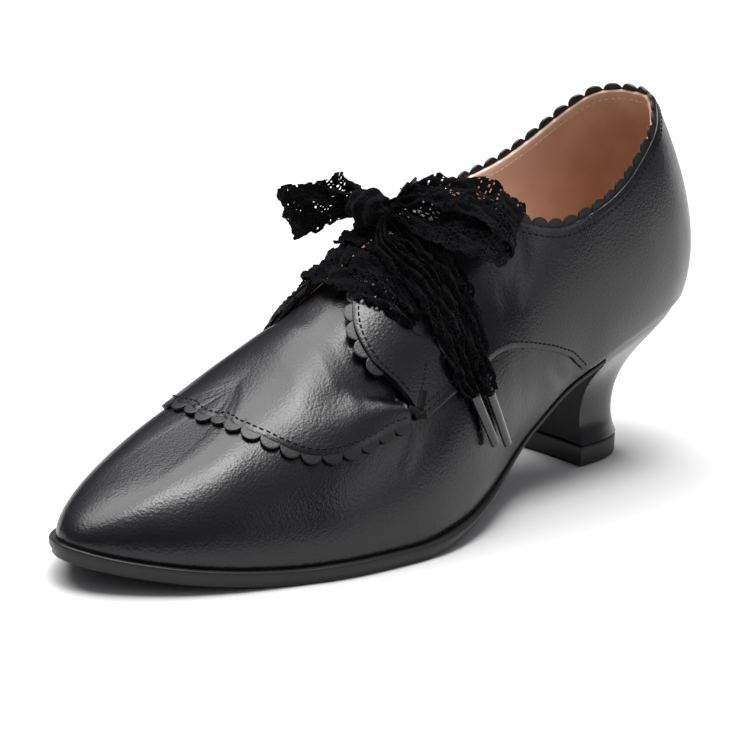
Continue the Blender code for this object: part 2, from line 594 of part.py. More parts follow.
# Ribbon bands that lie on the shoe, as shares of LENGTH, rises on the last, half widths
# as shares of LENGTH, and heights above the last in metres.
BAND_COLUMNS = ("foot", "rise", "half", "height")
LOWER_BAR = (
    (0.571, 0.610, 0.012, 0.0014), (0.577, 0.700, 0.016, 0.0014), (0.586, 0.800, 0.021, 0.0014),
    (0.592, 0.900, 0.025, 0.0014), (0.594, 0.985, 0.026, 0.0014),
)
UPPER_BAR = (
    (0.520, 0.700, 0.012, 0.0014), (0.530, 0.800, 0.016, 0.0014), (0.537, 0.900, 0.018, 0.0014),
    (0.539, 0.985, 0.019, 0.0014),
)
TAIL_LEFT = (
    (0.555, 0.910, 0.0130, 0.0044), (0.555, 0.800, 0.0138, 0.0034), (0.549, 0.700, 0.0138, 0.0032),
    (0.543, 0.600, 0.0138, 0.0029), (0.537, 0.500, 0.0138, 0.0020), (0.529, 0.410, 0.0130, 0.0014),
    (0.520, 0.350, 0.0085, 0.0014),
)
TAIL_RIGHT = (
    (0.522, 0.910, 0.0130, 0.0044), (0.522, 0.800, 0.0138, 0.0036), (0.516, 0.700, 0.0138, 0.0033),
    (0.510, 0.600, 0.0138, 0.0022), (0.504, 0.500, 0.0138, 0.0014), (0.498, 0.400, 0.0130, 0.0014),
    (0.493, 0.318, 0.0085, 0.0014),
)

# Free parts of the bow, points chosen by hand in millimetres: the middle of the
# ribbon, and the way across it with half its width.
NEAR_LOOP = (
    ((130.5, 5.6, 93.6), (3.1, 1.4, -2.0)), ((124.0, 13.4, 90.6), (6.0, 3.2, -4.0)),
    ((115.5, 21.4, 87.4), (7.4, 4.4, -4.4)), ((107.5, 27.0, 84.6), (7.6, 4.6, -4.6)),
    ((102.4, 27.8, 84.8), (7.6, 4.6, -4.6)), ((100.8, 24.6, 88.8), (7.4, 4.4, -4.6)),
    ((105.0, 19.4, 93.8), (7.0, 4.2, -4.2)), ((113.0, 14.0, 97.4), (6.2, 3.6, -3.6)),
    ((122.0, 9.0, 98.4), (5.0, 2.6, -3.0)), ((128.2, 5.8, 97.0), (3.6, 1.8, -2.4)),
)
FAR_LOOP = (
    ((134.0, -8.4, 92.6), (1.2, 0.4, 3.4)), ((139.5, -13.5, 92.0), (2.6, 0.2, 5.8)),
    ((143.5, -20.0, 89.8), (3.4, 0.0, 7.4)), ((144.4, -26.5, 87.0), (3.6, 0.0, 8.2)),
    ((140.6, -30.6, 85.4), (3.6, 0.0, 8.4)), ((135.4, -29.0, 86.4), (3.4, 0.0, 8.0)),
    ((131.4, -22.5, 90.6), (3.0, 0.2, 7.0)), ((130.2, -15.5, 93.8), (2.4, 0.4, 5.4)),
    ((130.8, -10.2, 94.6), (1.4, 0.6, 3.8)),
)
KNOT_MIDDLE = (134.8, -1.2, 92.6)
KNOT_RADII = (0.0058, 0.0066, 0.0054)
AGLETS = {
    "aglet_left": (TAIL_LEFT, (0.490, 0.183)),
    "aglet_right": (TAIL_RIGHT, (0.459, 0.145)),
}
AGLET_HEIGHT = 0.0026      # tip's middle above the last
AGLET_RADIUS = 0.0017
MM = 0.001


def band(name, table, steps, over_ridge=False):
    """Ribbon that follows the last at a height, on the outer side or over the ridge."""
    table = np.array(table)
    rows = through(np.arange(len(table)), table, np.linspace(0, len(table) - 1, steps), steady=True)
    route = [(1, row) for row in rows]
    if over_ridge:
        route += [(-1, row) for row in rows[::-1]]
    across = np.linspace(-1, 1, 3)
    rings = []
    for side, (foot, rise, half, height) in route:
        stations = np.array([station_at(foot + half * step, side) for step in across])
        low = off_last(stations, rise, height)
        high = off_last(stations, rise, height + RIBBON_THICKNESS)
        rings.append(np.concatenate([low, high[::-1]]))
    return ring_solid(name, rings, "lace", sharp=50)


def ribbon_loop(name, table, steps):
    """Closed ribbon that runs out from the knot and back."""
    table = np.array(table).reshape(-1, 6) * MM
    around = np.concatenate([table[-3:], table, table[:4]])
    rows = through(np.arange(len(around)) - 3.0, around, np.arange(steps) * len(table) / steps)
    middle = rows[:, :3]
    across = rows[:, 3:]
    along = np.roll(middle, -1, axis=0) - np.roll(middle, 1, axis=0)
    normal = np.cross(along, across)
    normal *= RIBBON_THICKNESS / 2 / np.linalg.norm(normal, axis=1, keepdims=True)
    rings = np.stack([middle - across - normal, middle + across - normal,
                      middle + across + normal, middle - across + normal], axis=1)
    return ring_solid(name, rings, "lace", closed=True, sharp=50)


def make_knot():
    """Rounded knot that holds the bow."""
    around, levels = 12, 6
    rings = []
    for level in range(1, levels):
        slope = pi * level / levels
        rings.append([np.array(KNOT_MIDDLE) * MM + np.array(KNOT_RADII) * (
            sin(slope) * cos(2 * pi * k / around), sin(slope) * sin(2 * pi * k / around), cos(slope))
            for k in range(around)])
    return ring_solid("bow_knot", rings, "lace", sharp=50)


def make_aglets():
    """Stiff tips on the ribbon's tails."""
    for name, (tail, (foot, rise)) in AGLETS.items():
        end_foot, end_rise, half, height = tail[-1]
        end = off_last(station_at(end_foot, 1), end_rise, height + RIBBON_THICKNESS / 2)
        tip = off_last(station_at(foot, 1), rise, AGLET_HEIGHT)
        way = (tip - end) / np.linalg.norm(tip - end)
        top = end + way * 2 * GAP
        side = np.cross(way, (0, 0, 1))
        side /= np.linalg.norm(side)
        other = np.cross(way, side)
        rings = [[end + AGLET_RADIUS * (cos(pi * k / 4) * side + sin(pi * k / 4) * other) for k in range(8)]
                 for end in (top, tip)]
        ring_solid(name, rings, "aglet", sharp=60)


def make_lacing():
    band("lace_bar_lower", LOWER_BAR, 9, over_ridge=True)
    band("lace_bar_upper", UPPER_BAR, 7, over_ridge=True)
    make_knot()
    ribbon_loop("bow_loop_left", NEAR_LOOP, 22)
    ribbon_loop("bow_loop_right", FAR_LOOP, 20)
    band("bow_tail_left", TAIL_LEFT, 12)
    band("bow_tail_right", TAIL_RIGHT, 12)
    make_aglets()


def main():
    clear_scene()
    make_outsole()
    make_heel()
    make_lift()
    make_upper()
    make_apron()
    make_insole()
    make_edgings()
    make_lacing()


main()
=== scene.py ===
"""Low lace-up pump with a spool heel, in leather and lining with a lace bow, and its studio."""
from math import cos, pi, radians, sin

import bmesh
import bpy
import numpy as np
from mathutils import Matrix, Vector, noise


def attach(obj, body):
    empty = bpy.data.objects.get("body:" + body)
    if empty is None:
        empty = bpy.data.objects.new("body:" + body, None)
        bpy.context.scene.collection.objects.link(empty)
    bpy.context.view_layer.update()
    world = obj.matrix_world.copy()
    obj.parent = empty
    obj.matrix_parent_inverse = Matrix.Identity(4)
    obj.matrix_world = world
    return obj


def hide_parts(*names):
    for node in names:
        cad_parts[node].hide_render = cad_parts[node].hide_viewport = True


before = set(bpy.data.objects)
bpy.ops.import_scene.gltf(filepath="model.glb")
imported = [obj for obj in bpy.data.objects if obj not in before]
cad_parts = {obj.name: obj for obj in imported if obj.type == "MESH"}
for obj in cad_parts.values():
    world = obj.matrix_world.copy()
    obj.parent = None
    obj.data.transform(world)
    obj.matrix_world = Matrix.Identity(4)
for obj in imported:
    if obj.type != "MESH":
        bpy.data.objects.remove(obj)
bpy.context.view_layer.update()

bl_info = {
    "name": "Lace-up pump with a spool heel",
    "version": (1, 0),
    "blender": (4, 5, 0),
    "location": "3D View > Sidebar > Shoe",
    "description": "Dresses a low lace-up pump in leather, lining, stitches and a lace bow",
    "category": "Add Mesh",
}

MM = 0.001


def linear(code):
    """An sRGB hex colour as linear red, green, blue and alpha."""
    parts = [int(code[k:k + 2], 16) / 255 for k in (1, 3, 5)]
    return tuple(c / 12.92 if c <= 0.04045 else ((c + 0.055) / 1.055) ** 2.4 for c in parts) + (1.0,)


# Sizes of the last and the sole, in metres
LENGTH = 0.248
BALL_WIDTH = 0.077
HEEL_HEIGHT = 0.0545
UPPER_RISE = 0.068
TOE_SPRING = 0.009
SOLE_THICKNESS = 0.0050
WAIST_THICKNESS = 0.0030
SOLE_WELT = 0.0018
SOLE_ROUND = 0.0009
LIFT_HEIGHT = 0.0070
HEEL_BASE_LENGTH = 0.0259
HEEL_BASE_WIDTH = 0.0260
HEEL_BASE_BACK = 0.0245
BREAST_TOP = 0.0560
WALL = 0.0019
QUARTER_STEP = 0.0010
QUARTER_FADE = (0.45, 0.62)
APRON_THICKNESS = 0.0010
INSOLE_THICKNESS = 0.0020
GAP = 0.0003
TONGUE_DROP = 0.0009
LAP_GAP = 0.0004
RIBBON_THICKNESS = 0.0012
SKIN = 0.00095             # leather alone
HAIR = 0.00005             # clearance between leather layers
ORIGIN = np.array([HEEL_BASE_BACK + HEEL_BASE_LENGTH / 2, 0, 0])

# The last, heel to toe, a row for each line of its surface
LAST = (
    (0.008, 0.000, 0.000, 0.085, 0.000, 0.000, 1.007, 1.007, 0.065, 0.265, 0.221, 0.382),
    (0.018, 0.117, 0.117, 0.090, 0.084, 0.084, 1.007, 1.007, 0.065, 0.265, 0.188, 0.382),
    (0.044, 0.214, 0.214, 0.110, 0.173, 0.173, 0.990, 0.990, 0.065, 0.265, 0.149, 0.382),
    (0.085, 0.279, 0.279, 0.139, 0.260, 0.260, 0.934, 0.912, 0.068, 0.265, 0.110, 0.368),
    (0.133, 0.318, 0.312, 0.181, 0.312, 0.312, 0.857, 0.835, 0.071, 0.265, 0.078, 0.338),
    (0.185, 0.338, 0.325, 0.226, 0.344, 0.338, 0.803, 0.800, 0.078, 0.265, 0.052, 0.294),
    (0.242, 0.344, 0.318, 0.274, 0.357, 0.351, 0.808, 0.820, 0.084, 0.265, 0.042, 0.265),
    (0.298, 0.331, 0.286, 0.325, 0.344, 0.338, 0.884, 0.913, 0.097, 0.294, 0.058, 0.294),
    (0.351, 0.344, 0.260, 0.371, 0.305, 0.305, 1.003, 1.022, 0.097, 0.338, 0.091, 0.324),
    (0.395, 0.383, 0.253, 0.411, 0.227, 0.234, 1.119, 1.134, 0.091, 0.397, 0.143, 0.250),
    (0.435, 0.435, 0.266, 0.446, 0.097, 0.110, 1.226, 1.233, 0.084, 0.441, 0.221, 0.118),
    (0.476, 0.487, 0.292, 0.476, 0.000, 0.000, 1.221, 1.221, 0.078, 0.441, 0.260, -0.044),
    (0.524, 0.530, 0.338, 0.524, 0.000, 0.000, 1.153, 1.153, 0.071, 0.441, 0.279, -0.049),
    (0.581, 0.556, 0.390, 0.577, 0.000, 0.000, 1.055, 1.055, 0.058, 0.426, 0.286, -0.043),
    (0.645, 0.552, 0.435, 0.629, 0.000, 0.000, 0.929, 0.929, 0.045, 0.368, 0.286, -0.022),
    (0.714, 0.526, 0.461, 0.667, 0.000, 0.000, 0.815, 0.815, 0.039, 0.309, 0.286, 0.018),
    (0.778, 0.468, 0.448, 0.695, 0.000, 0.000, 0.735, 0.735, 0.036, 0.265, 0.299, 0.053),
    (0.843, 0.396, 0.396, 0.716, 0.000, 0.000, 0.679, 0.679, 0.031, 0.228, 0.318, 0.087),
    (0.897, 0.312, 0.318, 0.731, 0.000, 0.000, 0.641, 0.641, 0.026, 0.199, 0.342, 0.115),
    (0.940, 0.214, 0.227, 0.740, 0.000, 0.000, 0.619, 0.619, 0.019, 0.176, 0.361, 0.149),
    (0.970, 0.123, 0.136, 0.745, 0.000, 0.000, 0.607, 0.607, 0.013, 0.162, 0.373, 0.185),
    (0.985, 0.052, 0.058, 0.748, 0.000, 0.000, 0.601, 0.601, 0.008, 0.150, 0.377, 0.224),
    (0.989, 0.000, 0.000, 0.748, 0.000, 0.000, 0.600, 0.600, 0.006, 0.147, 0.377, 0.232),
)
SEAT = (
    (0.000, 1.000, 0.00), (0.070, 0.925, 0.00), (0.130, 0.860, 0.00), (0.180, 0.795, 0.00),
    (0.226, 0.715, 0.00), (0.270, 0.620, 0.00), (0.350, 0.375, 0.00), (0.450, 0.155, 0.00),
    (0.540, 0.035, 0.00), (0.610, 0.000, 0.00), (0.760, 0.000, 0.00), (0.820, 0.000, 0.10),
    (0.880, 0.000, 0.29), (0.935, 0.000, 0.54), (0.970, 0.000, 0.75), (1.000, 0.000, 1.00),
)
# Lines of the upper: foot, seam, seam_rise, top, top_rise, step
UPPER = (
    (0.008, 0.008, 0.020, 0.008, 0.970, 1), (0.018, 0.018, 0.020, 0.018, 0.970, 1),
    (0.044, 0.044, 0.020, 0.044, 0.970, 1), (0.085, 0.085, 0.020, 0.085, 0.968, 1),
    (0.133, 0.133, 0.020, 0.133, 0.965, 1), (0.180, 0.180, 0.020, 0.180, 0.965, 1),
    (0.222, 0.224, 0.025, 0.222, 0.965, 1), (0.258, 0.264, 0.040, 0.256, 0.965, 1),
    (0.278, 0.285, 0.140, 0.278, 0.965, 1), (0.298, 0.310, 0.275, 0.298, 0.965, 1),
    (0.330, 0.345, 0.380, 0.328, 0.965, 1), (0.372, 0.386, 0.410, 0.365, 0.965, 1),
    (0.415, 0.430, 0.398, 0.402, 0.965, 1), (0.452, 0.476, 0.384, 0.436, 0.945, 1),
    (0.482, 0.510, 0.383, 0.497, 0.875, 1), (0.508, 0.533, 0.383, 0.558, 0.875, 1),
    (0.530, 0.552, 0.383, 0.607, 0.850, 1), (0.548, 0.567, 0.380, 0.635, 0.750, 1),
    (0.564, 0.578, 0.377, 0.636, 0.620, 1), (0.578, 0.586, 0.374, 0.616, 0.500, 1),
    (0.590, 0.592, 0.372, 0.603, 0.415, 1), (0.604, 0.604, 0.345, 0.608, 0.392, 0),
    (0.622, 0.622, 0.360, 0.622, 0.415, 0), (0.645, 0.645, 0.380, 0.645, 0.440, 0),
    (0.675, 0.675, 0.400, 0.675, 0.468, 0), (0.707, 0.707, 0.425, 0.707, 0.488, 0),
    (0.740, 0.740, 0.450, 0.740, 0.512, 0), (0.775, 0.775, 0.490, 0.775, 0.555, 0),
    (0.810, 0.810, 0.550, 0.810, 0.622, 0), (0.850, 0.850, 0.630, 0.850, 0.700, 0),
    (0.890, 0.890, 0.710, 0.890, 0.775, 0), (0.930, 0.930, 0.785, 0.930, 0.840, 0),
    (0.965, 0.965, 0.835, 0.965, 0.885, 0), (0.988, 0.988, 0.850, 0.988, 0.905, 0),
)
COLLAR_CORNER = 13         # line where the collar turns down the facing
FACING_END = 18.5          # line where the facing's scallops stop
QUARTER_TIP = 20           # line where the quarter's front corner ends
LINING_SHORT = 0.0060      # the lining ends this far from the facing's edge
BACKING_WIDTH = 0.0080     # black strip that backs the facing's edge
# Lines of the apron: ridge, edge, edge_rise, edge_level, lap_level, inner_level, lap, ease
APRON = (
    (0.425, 0.425, 0.900, -1.0, -1.0, -1.00, 0.010, 0.030),
    (0.455, 0.455, 0.860, -1.0, -1.0, -1.00, 0.010, 0.030),
    (0.485, 0.485, 0.835, -1.0, -1.0, -1.00, 0.010, 0.040),
    (0.515, 0.515, 0.800, -1.0, -1.0, -1.00, 0.020, 0.060),
    (0.545, 0.545, 0.755, -1.0, -1.0, -1.00, 0.020, 0.060),
    (0.572, 0.568, 0.700, -1.0, -1.0, -1.00, 0.020, 0.080),
    (0.595, 0.584, 0.610, -1.0, -1.0, -1.00, 0.030, 0.100),
    (0.612, 0.592, 0.510, -1.0, -1.0, -1.00, 0.030, 0.100),
    (0.624, 0.598, 0.440, -1.0, -1.0, -1.00, 0.020, 0.080),
    (0.632, 0.607, 0.412, -1.0, -1.0, -1.00, 0.010, 0.040),
    (0.636, 0.6105, 0.425, -0.3, -0.4, -1.00, 0.004, 0.040),
    (0.639, 0.6125, 0.420, 0.8, 0.7, -1.00, 0.006, 0.046),
    (0.642, 0.6135, 0.406, 1.0, 1.0, -1.00, 0.020, 0.062),
    (0.646, 0.615, 0.386, 1.0, 1.0, -1.00, 0.037, 0.080),
    (0.654, 0.626, 0.392, 1.0, 1.0, -0.95, 0.045, 0.100),
    (0.664, 0.642, 0.398, 1.0, 1.0, -0.85, 0.055, 0.130),
    (0.677, 0.662, 0.398, 1.0, 1.0, -0.60, 0.065, 0.170),
    (0.694, 0.686, 0.402, 1.0, 1.0, -0.20, 0.075, 0.210),
    (0.714, 0.711, 0.413, 1.0, 1.0, 0.20, 0.075, 0.210),
    (0.738, 0.738, 0.434, 1.0, 1.0, 0.60, 0.075, 0.210),
    (0.768, 0.768, 0.475, 1.0, 1.0, 0.90, 0.075, 0.210),
    (0.803, 0.803, 0.541, 1.0, 1.0, 1.00, 0.075, 0.200),
    (0.842, 0.842, 0.622, 1.0, 1.0, 1.00, 0.075, 0.180),
    (0.880, 0.880, 0.697, 1.0, 1.0, 1.00, 0.070, 0.150),
    (0.920, 0.920, 0.772, 1.0, 1.0, 1.00, 0.055, 0.120),
    (0.955, 0.955, 0.834, 1.0, 1.0, 1.00, 0.040, 0.090),
    (0.978, 0.978, 0.866, 1.0, 1.0, 1.00, 0.030, 0.070),
    (0.988, 0.988, 0.876, 1.0, 1.0, 1.00, 0.030, 0.070),
)
APRON_START = 13           # line where the apron's scallops begin


def through(knots, values, at, steady=False):
    """Smooth curve through a table's rows. A steady one never passes its rows' values."""
    knots = np.asarray(knots, float)
    values = np.asarray(values, float)
    slopes = np.gradient(values, knots, axis=0)
    if steady:
        rise = np.diff(values, axis=0) / np.diff(knots)[:, None]
        before, after = rise[:-1], rise[1:]
        both = np.where(np.abs(before + after) > 1e-9, before + after, 1.0)
        slopes[1:-1] = np.where(before * after > 0, 2 * before * after / both, 0.0)
    at = np.clip(np.asarray(at, float), knots[0], knots[-1])
    low = np.clip(np.searchsorted(knots, at, side="right") - 1, 0, len(knots) - 2)
    span = knots[low + 1] - knots[low]
    share = (at - knots[low]) / span
    if values.ndim > 1:
        span = span[..., None]
        share = share[..., None]
    ease = share * share * (3 - 2 * share)
    return (values[low] * (1 - ease) + values[low + 1] * ease
            + slopes[low] * span * share * (1 - share) ** 2
            - slopes[low + 1] * span * share ** 2 * (1 - share))


def table_rows(table, at, steady=False):
    """A table's columns at row numbers between its rows."""
    return through(np.arange(len(table)), table, at, steady)


def seat(x):
    """Height of the seat line, where the upper meets the sole and heel."""
    along, arch, spring = np.array(SEAT).T
    shares = through(along, np.stack([arch, spring], axis=1), np.asarray(x) / LENGTH, steady=True)
    return (SOLE_THICKNESS + shares[..., 0] * (HEEL_HEIGHT - SOLE_THICKNESS)
            + shares[..., 1] * TOE_SPRING)


def last_rows():
    """The last's rows in metres, once round: outer side to the toe, inner side back."""
    foot, y_lat, y_med, top, top_lat, top_med, rise_lat, rise_med, *handles = np.array(LAST).T
    rows = []
    for side, half, top_half, rise in ((1, y_lat, top_lat, rise_lat), (-1, y_med, top_med, rise_med)):
        top_x = top * LENGTH
        rows.append(np.stack([
            foot * LENGTH, side * half * BALL_WIDTH,
            top_x, side * top_half * BALL_WIDTH, seat(top_x) + rise * UPPER_RISE,
            handles[0] * BALL_WIDTH, handles[1] * UPPER_RISE,
            handles[2] * BALL_WIDTH, handles[3] * UPPER_RISE], axis=1))
    return np.concatenate([rows[0], rows[1][-2:0:-1]])


ROWS = last_rows()
TURN = len(ROWS)
TOE = len(LAST) - 1
NUDGE = 0.02               # step in station or rise that gives a slope


def at_station(station):
    """Row of the last at a station, and the way out from the foot there."""
    extra = 4
    padded = np.concatenate([ROWS[-extra:], ROWS, ROWS[:extra + 1]])
    knots = np.arange(len(padded)) - extra
    station = np.mod(station, TURN)
    row = through(knots, padded, station)
    before, after = (through(knots, padded[:, :2], station + shift) for shift in (-NUDGE, NUDGE))
    along = after - before
    along /= np.linalg.norm(along, axis=-1, keepdims=True)
    return row, np.stack([-along[..., 1], along[..., 0]], axis=-1)


def last_point(station, rise):
    """Point of the last: station round the foot, rise 0 at the feather line and 1 at the top."""
    station, rise = np.broadcast_arrays(np.asarray(station, float), np.asarray(rise, float))
    row, out = at_station(station)
    foot = np.concatenate([row[..., :2], seat(row[..., 0])[..., None]], axis=-1)
    top = row[..., 2:5]
    low = foot + np.concatenate([out * row[..., 5:6], row[..., 6:7]], axis=-1)
    high = top + np.concatenate([out * row[..., 7:8], -row[..., 8:9]], axis=-1)
    t = rise[..., None]
    return ((1 - t) ** 3 * foot + 3 * (1 - t) ** 2 * t * low
            + 3 * (1 - t) * t ** 2 * high + t ** 3 * top)


def last_normal(station, rise):
    """Unit normal of the last, pointing out of the shoe."""
    up = last_point(station, rise + NUDGE) - last_point(station, rise - NUDGE)
    round_foot = last_point(station + NUDGE, rise) - last_point(station - NUDGE, rise)
    normal = np.cross(up, round_foot)
    return normal / np.linalg.norm(normal, axis=-1, keepdims=True)


def vamp_level(station):
    """The vamp lies this far in from the last's surface, so that the quarters over it are flush."""
    station = np.mod(station, TURN)
    share = np.interp(np.minimum(station, TURN - station), np.arange(TOE + 1), np.array(LAST)[:, 0])
    first, last = QUARTER_FADE
    return -QUARTER_STEP * np.clip((last - share) / (last - first), 0, 1)


def station_at(share, side):
    """Station whose foot lies at a share of LENGTH, on the outer (1) or inner (-1) side."""
    feet = np.array(LAST)[:, 0]
    station = np.interp(share, feet, np.arange(len(feet)))
    return np.where(np.asarray(side) > 0, station, TURN - station)


def off_last(station, rise, away):
    """Point at a height over the vamp's level, outwards."""
    station, rise, away = np.broadcast_arrays(
        np.asarray(station, float), np.asarray(rise, float), np.asarray(away, float))
    away = away + vamp_level(station)
    return last_point(station, rise) + away[..., None] * last_normal(station, rise)


# Creases of the leather: start and end as share, rise and side, then
# depth and half width in millimetres. Each is a soft trough with a ridge on both sides.
CREASES = (
    ((0.655, 0.60, 1), (0.640, 0.97, 1), 0.35, 2.6),
    ((0.662, 0.74, -1), (0.648, 0.97, -1), 0.22, 2.4),
    ((0.640, 0.66, 1), (0.622, 0.90, 1), 0.25, 1.8),
    ((0.640, 0.24, 1), (0.600, 0.36, 1), 0.20, 3.0),
    ((0.640, 0.22, -1), (0.600, 0.36, -1), 0.22, 3.0),
    ((0.440, 0.55, 1), (0.420, 0.88, 1), 0.22, 3.2),
    ((0.405, 0.52, 1), (0.370, 0.90, 1), 0.25, 3.6),
    ((0.440, 0.55, -1), (0.420, 0.88, -1), 0.25, 3.2),
    ((0.395, 0.50, -1), (0.355, 0.88, -1), 0.25, 3.6),
    ((0.300, 0.10, 1), (0.345, 0.30, 1), 0.30, 3.4),
    ((0.300, 0.10, -1), (0.345, 0.30, -1), 0.30, 3.4),
)


def crease_lines():
    lines = []
    for start, end, depth, half in CREASES:
        share = np.linspace(0, 1, 9)
        first = station_at(start[0], start[2])
        last = station_at(end[0], end[2])
        stations = first + (last - first) * share
        rises = start[1] + (end[1] - start[1]) * share
        lines.append((last_point(stations, rises), depth * MM, half * MM))
    return lines


CREASE_LINES = crease_lines()


def crease_height(points):
    """How far the creases move the leather outwards at these points of the last."""
    height = np.zeros(points.shape[:-1])
    for line, depth, half in CREASE_LINES:
        best = np.full(points.shape[:-1], 1.0)
        taper = np.zeros(points.shape[:-1])
        for k in range(len(line) - 1):
            way = line[k + 1] - line[k]
            share = np.clip(((points - line[k]) @ way) / (way @ way), 0, 1)
            away = np.linalg.norm(points - line[k] - share[..., None] * way, axis=-1)
            near = away < best
            taper = np.where(near, (k + share) / (len(line) - 1), taper)
            best = np.where(near, away, best)
        fade = np.clip(4 * taper * (1 - taper), 0, 1)
        across = best / half
        height += depth * fade * (1.6 * across ** 2 - 1) * np.exp(-across ** 2)
    return height


def leather_point(station, rise, away):
    """Point over the last at a height, with the creases in it."""
    base = off_last(station, rise, away)
    return base + crease_height(base)[..., None] * last_normal(np.asarray(station, float), rise)


# Making meshes
def pick(piece):
    """Selects one object alone and makes it active."""
    bpy.ops.object.select_all(action="DESELECT")
    piece.select_set(True)
    bpy.context.view_layer.objects.active = piece


def finish_piece(piece, material, nodes=(), smooth=40):
    """Gives a piece its finish and place in the frame."""
    piece.data.materials.clear()
    for each in material if isinstance(material, (list, tuple)) else (material,):
        piece.data.materials.append(each)
    pick(piece)
    bpy.ops.object.shade_smooth_by_angle(angle=radians(smooth))
    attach(piece, "root")
    if nodes:
        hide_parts(*nodes)
    return piece


def mesh_piece(name, points, faces, closed=True, uvs=None, merge=True):
    """One mesh object from points counted from the back of the heel."""
    mesh = bpy.data.meshes.new(name)
    mesh.from_pydata([tuple(p) for p in np.asarray(points, float) - ORIGIN], [], faces)
    if uvs is not None:
        layer = mesh.uv_layers.new(name="flat")
        corner = np.zeros(len(mesh.loops), np.int32)
        mesh.loops.foreach_get("vertex_index", corner)
        layer.data.foreach_set("uv", np.asarray(uvs, np.float32)[corner].ravel())
    build = bmesh.new()
    build.from_mesh(mesh)
    if merge:
        bmesh.ops.remove_doubles(build, verts=build.verts, dist=2e-6)
        bmesh.ops.dissolve_degenerate(build, edges=build.edges, dist=1e-7)
    if closed:
        bmesh.ops.recalc_face_normals(build, faces=build.faces)
    build.to_mesh(mesh)
    build.free()
    piece = bpy.data.objects.new(name, mesh)
    bpy.context.scene.collection.objects.link(piece)
    return piece


def rim(outer, inner, steps=3):
    """Round edge between the last columns of two grids, pointing on past them."""
    ahead = outer[:, -1] - outer[:, -2] + inner[:, -1] - inner[:, -2]
    ahead /= np.linalg.norm(ahead, axis=1, keepdims=True)
    middle = (outer[:, -1] + inner[:, -1]) / 2
    radius = (outer[:, -1] - inner[:, -1]) / 2
    reach = np.linalg.norm(radius, axis=1, keepdims=True)
    arcs = []
    for k in range(1, steps + 1):
        turn = pi * k / (steps + 1)
        arcs.append(middle + radius * cos(turn) + ahead * reach * sin(turn))
    return np.stack(arcs, axis=1)


def ring_faces(count, size, closed=False):
    """Quads between rings of points. A closed stack joins its last ring to its first."""
    faces = []
    for index in range(count if closed else count - 1):
        near = index * size
        far = (index + 1) % count * size
        for corner in range(size):
            ahead = (corner + 1) % size
            faces.append((near + corner, near + ahead, far + ahead, far + corner))
    return faces


def slab(name, outer, inner, closed=False, folded=False):
    """Sheet of leather between two grids, with round edges. A folded one ends in a fold."""
    edge = rim(outer, inner)
    low_edge = rim(inner[:, ::-1], outer[:, ::-1])
    rings = np.concatenate([outer, edge, inner[:, ::-1], low_edge], axis=1)
    count, size = rings.shape[:2]
    faces = ring_faces(count, size, closed)
    wide = outer.shape[1]
    back = 2 * wide + edge.shape[1] - 1
    ends = (0,) if folded else (0, (count - 1) * size)
    for start in () if closed else ends:
        for k in range(wide - 1):
            faces.append((start + k, start + k + 1, start + back - k - 1, start + back - k))
        faces.append(tuple(range(start + wide - 1, start + back - wide + 2)))
        faces.append((*range(start + back, start + size), start))
    return mesh_piece(name, rings.reshape(-1, 3), faces)


def unit_shape():
    """The active object's points and faces, which is then removed."""
    piece = bpy.context.view_layer.objects.active
    points = np.array([vertex.co for vertex in piece.data.vertices])
    faces = [tuple(face.vertices) for face in piece.data.polygons]
    mesh = piece.data
    bpy.data.objects.remove(piece, do_unlink=True)
    bpy.data.meshes.remove(mesh)
    return points, faces


def copies(name, unit, frames):
    """Copies of a unit shape at frames: an origin, and the sized ways along, out and up."""
    points, faces = unit
    all_points = []
    all_faces = []
    for number, (origin, along, out, up) in enumerate(frames):
        all_points.append(origin + points[:, :1] * along + points[:, 1:2] * out + points[:, 2:] * up)
        base = number * len(points)
        all_faces += [tuple(base + corner for corner in face) for face in faces]
    return mesh_piece(name, np.concatenate(all_points), all_faces, merge=False)


def spaced(path, ways, pitch):
    """Places a pitch apart along a path, with the interpolated ways at them."""
    steps = np.linalg.norm(np.diff(path, axis=0), axis=1)
    length = np.concatenate([[0], np.cumsum(steps)])
    number = max(1, round(length[-1] / pitch))
    at = (np.arange(number) + 0.5) * length[-1] / number
    lines = []
    for line in (path, np.gradient(path, length, axis=0), *ways):
        lines.append(np.stack([np.interp(at, length, line[:, axis]) for axis in range(3)], axis=1))
    for line in lines[1:]:
        line /= np.linalg.norm(line, axis=1, keepdims=True)
    return lines, length[-1] / number


# Materials
def node(tree, kind, inputs=(), stops=(), **settings):
    """Adds a shader node. inputs maps a socket to a value or an output; stops are a ramp's."""
    made = tree.nodes.new(kind)
    for key, value in settings.items():
        setattr(made, key, value)
    for key, value in dict(inputs).items():
        if isinstance(value, bpy.types.NodeSocket):
            tree.links.new(value, made.inputs[key])
        else:
            made.inputs[key].default_value = value
    if stops:
        marks = made.color_ramp.elements
        while len(marks) < len(stops):
            marks.new(0.5)
        for mark, (place, colour) in zip(marks, stops):
            mark.position = place
            mark.color = colour
    return made


def surface(name, **values):
    """A material whose Principled shader has these values, with the shader and its tree."""
    material = bpy.data.materials.new(name)
    material.use_nodes = True
    tree = material.node_tree
    shader = tree.nodes["Principled BSDF"]
    for key, value in values.items():
        shader.inputs[key.replace("_", " ")].default_value = value
    return material, tree, shader


NOISE = "ShaderNodeTexNoise"
COORDINATES = "ShaderNodeTexCoord"
SPREAD = "ShaderNodeMapRange"
RAMP = "ShaderNodeValToRGB"
BUMP = "ShaderNodeBump"


def blotches(place, size, detail=3.0, rough=0.55):
    """Inputs of a noise whose blotches are about size metres across."""
    return {"Vector": place, "Scale": 0.6 / size, "Detail": detail, "Roughness": rough}


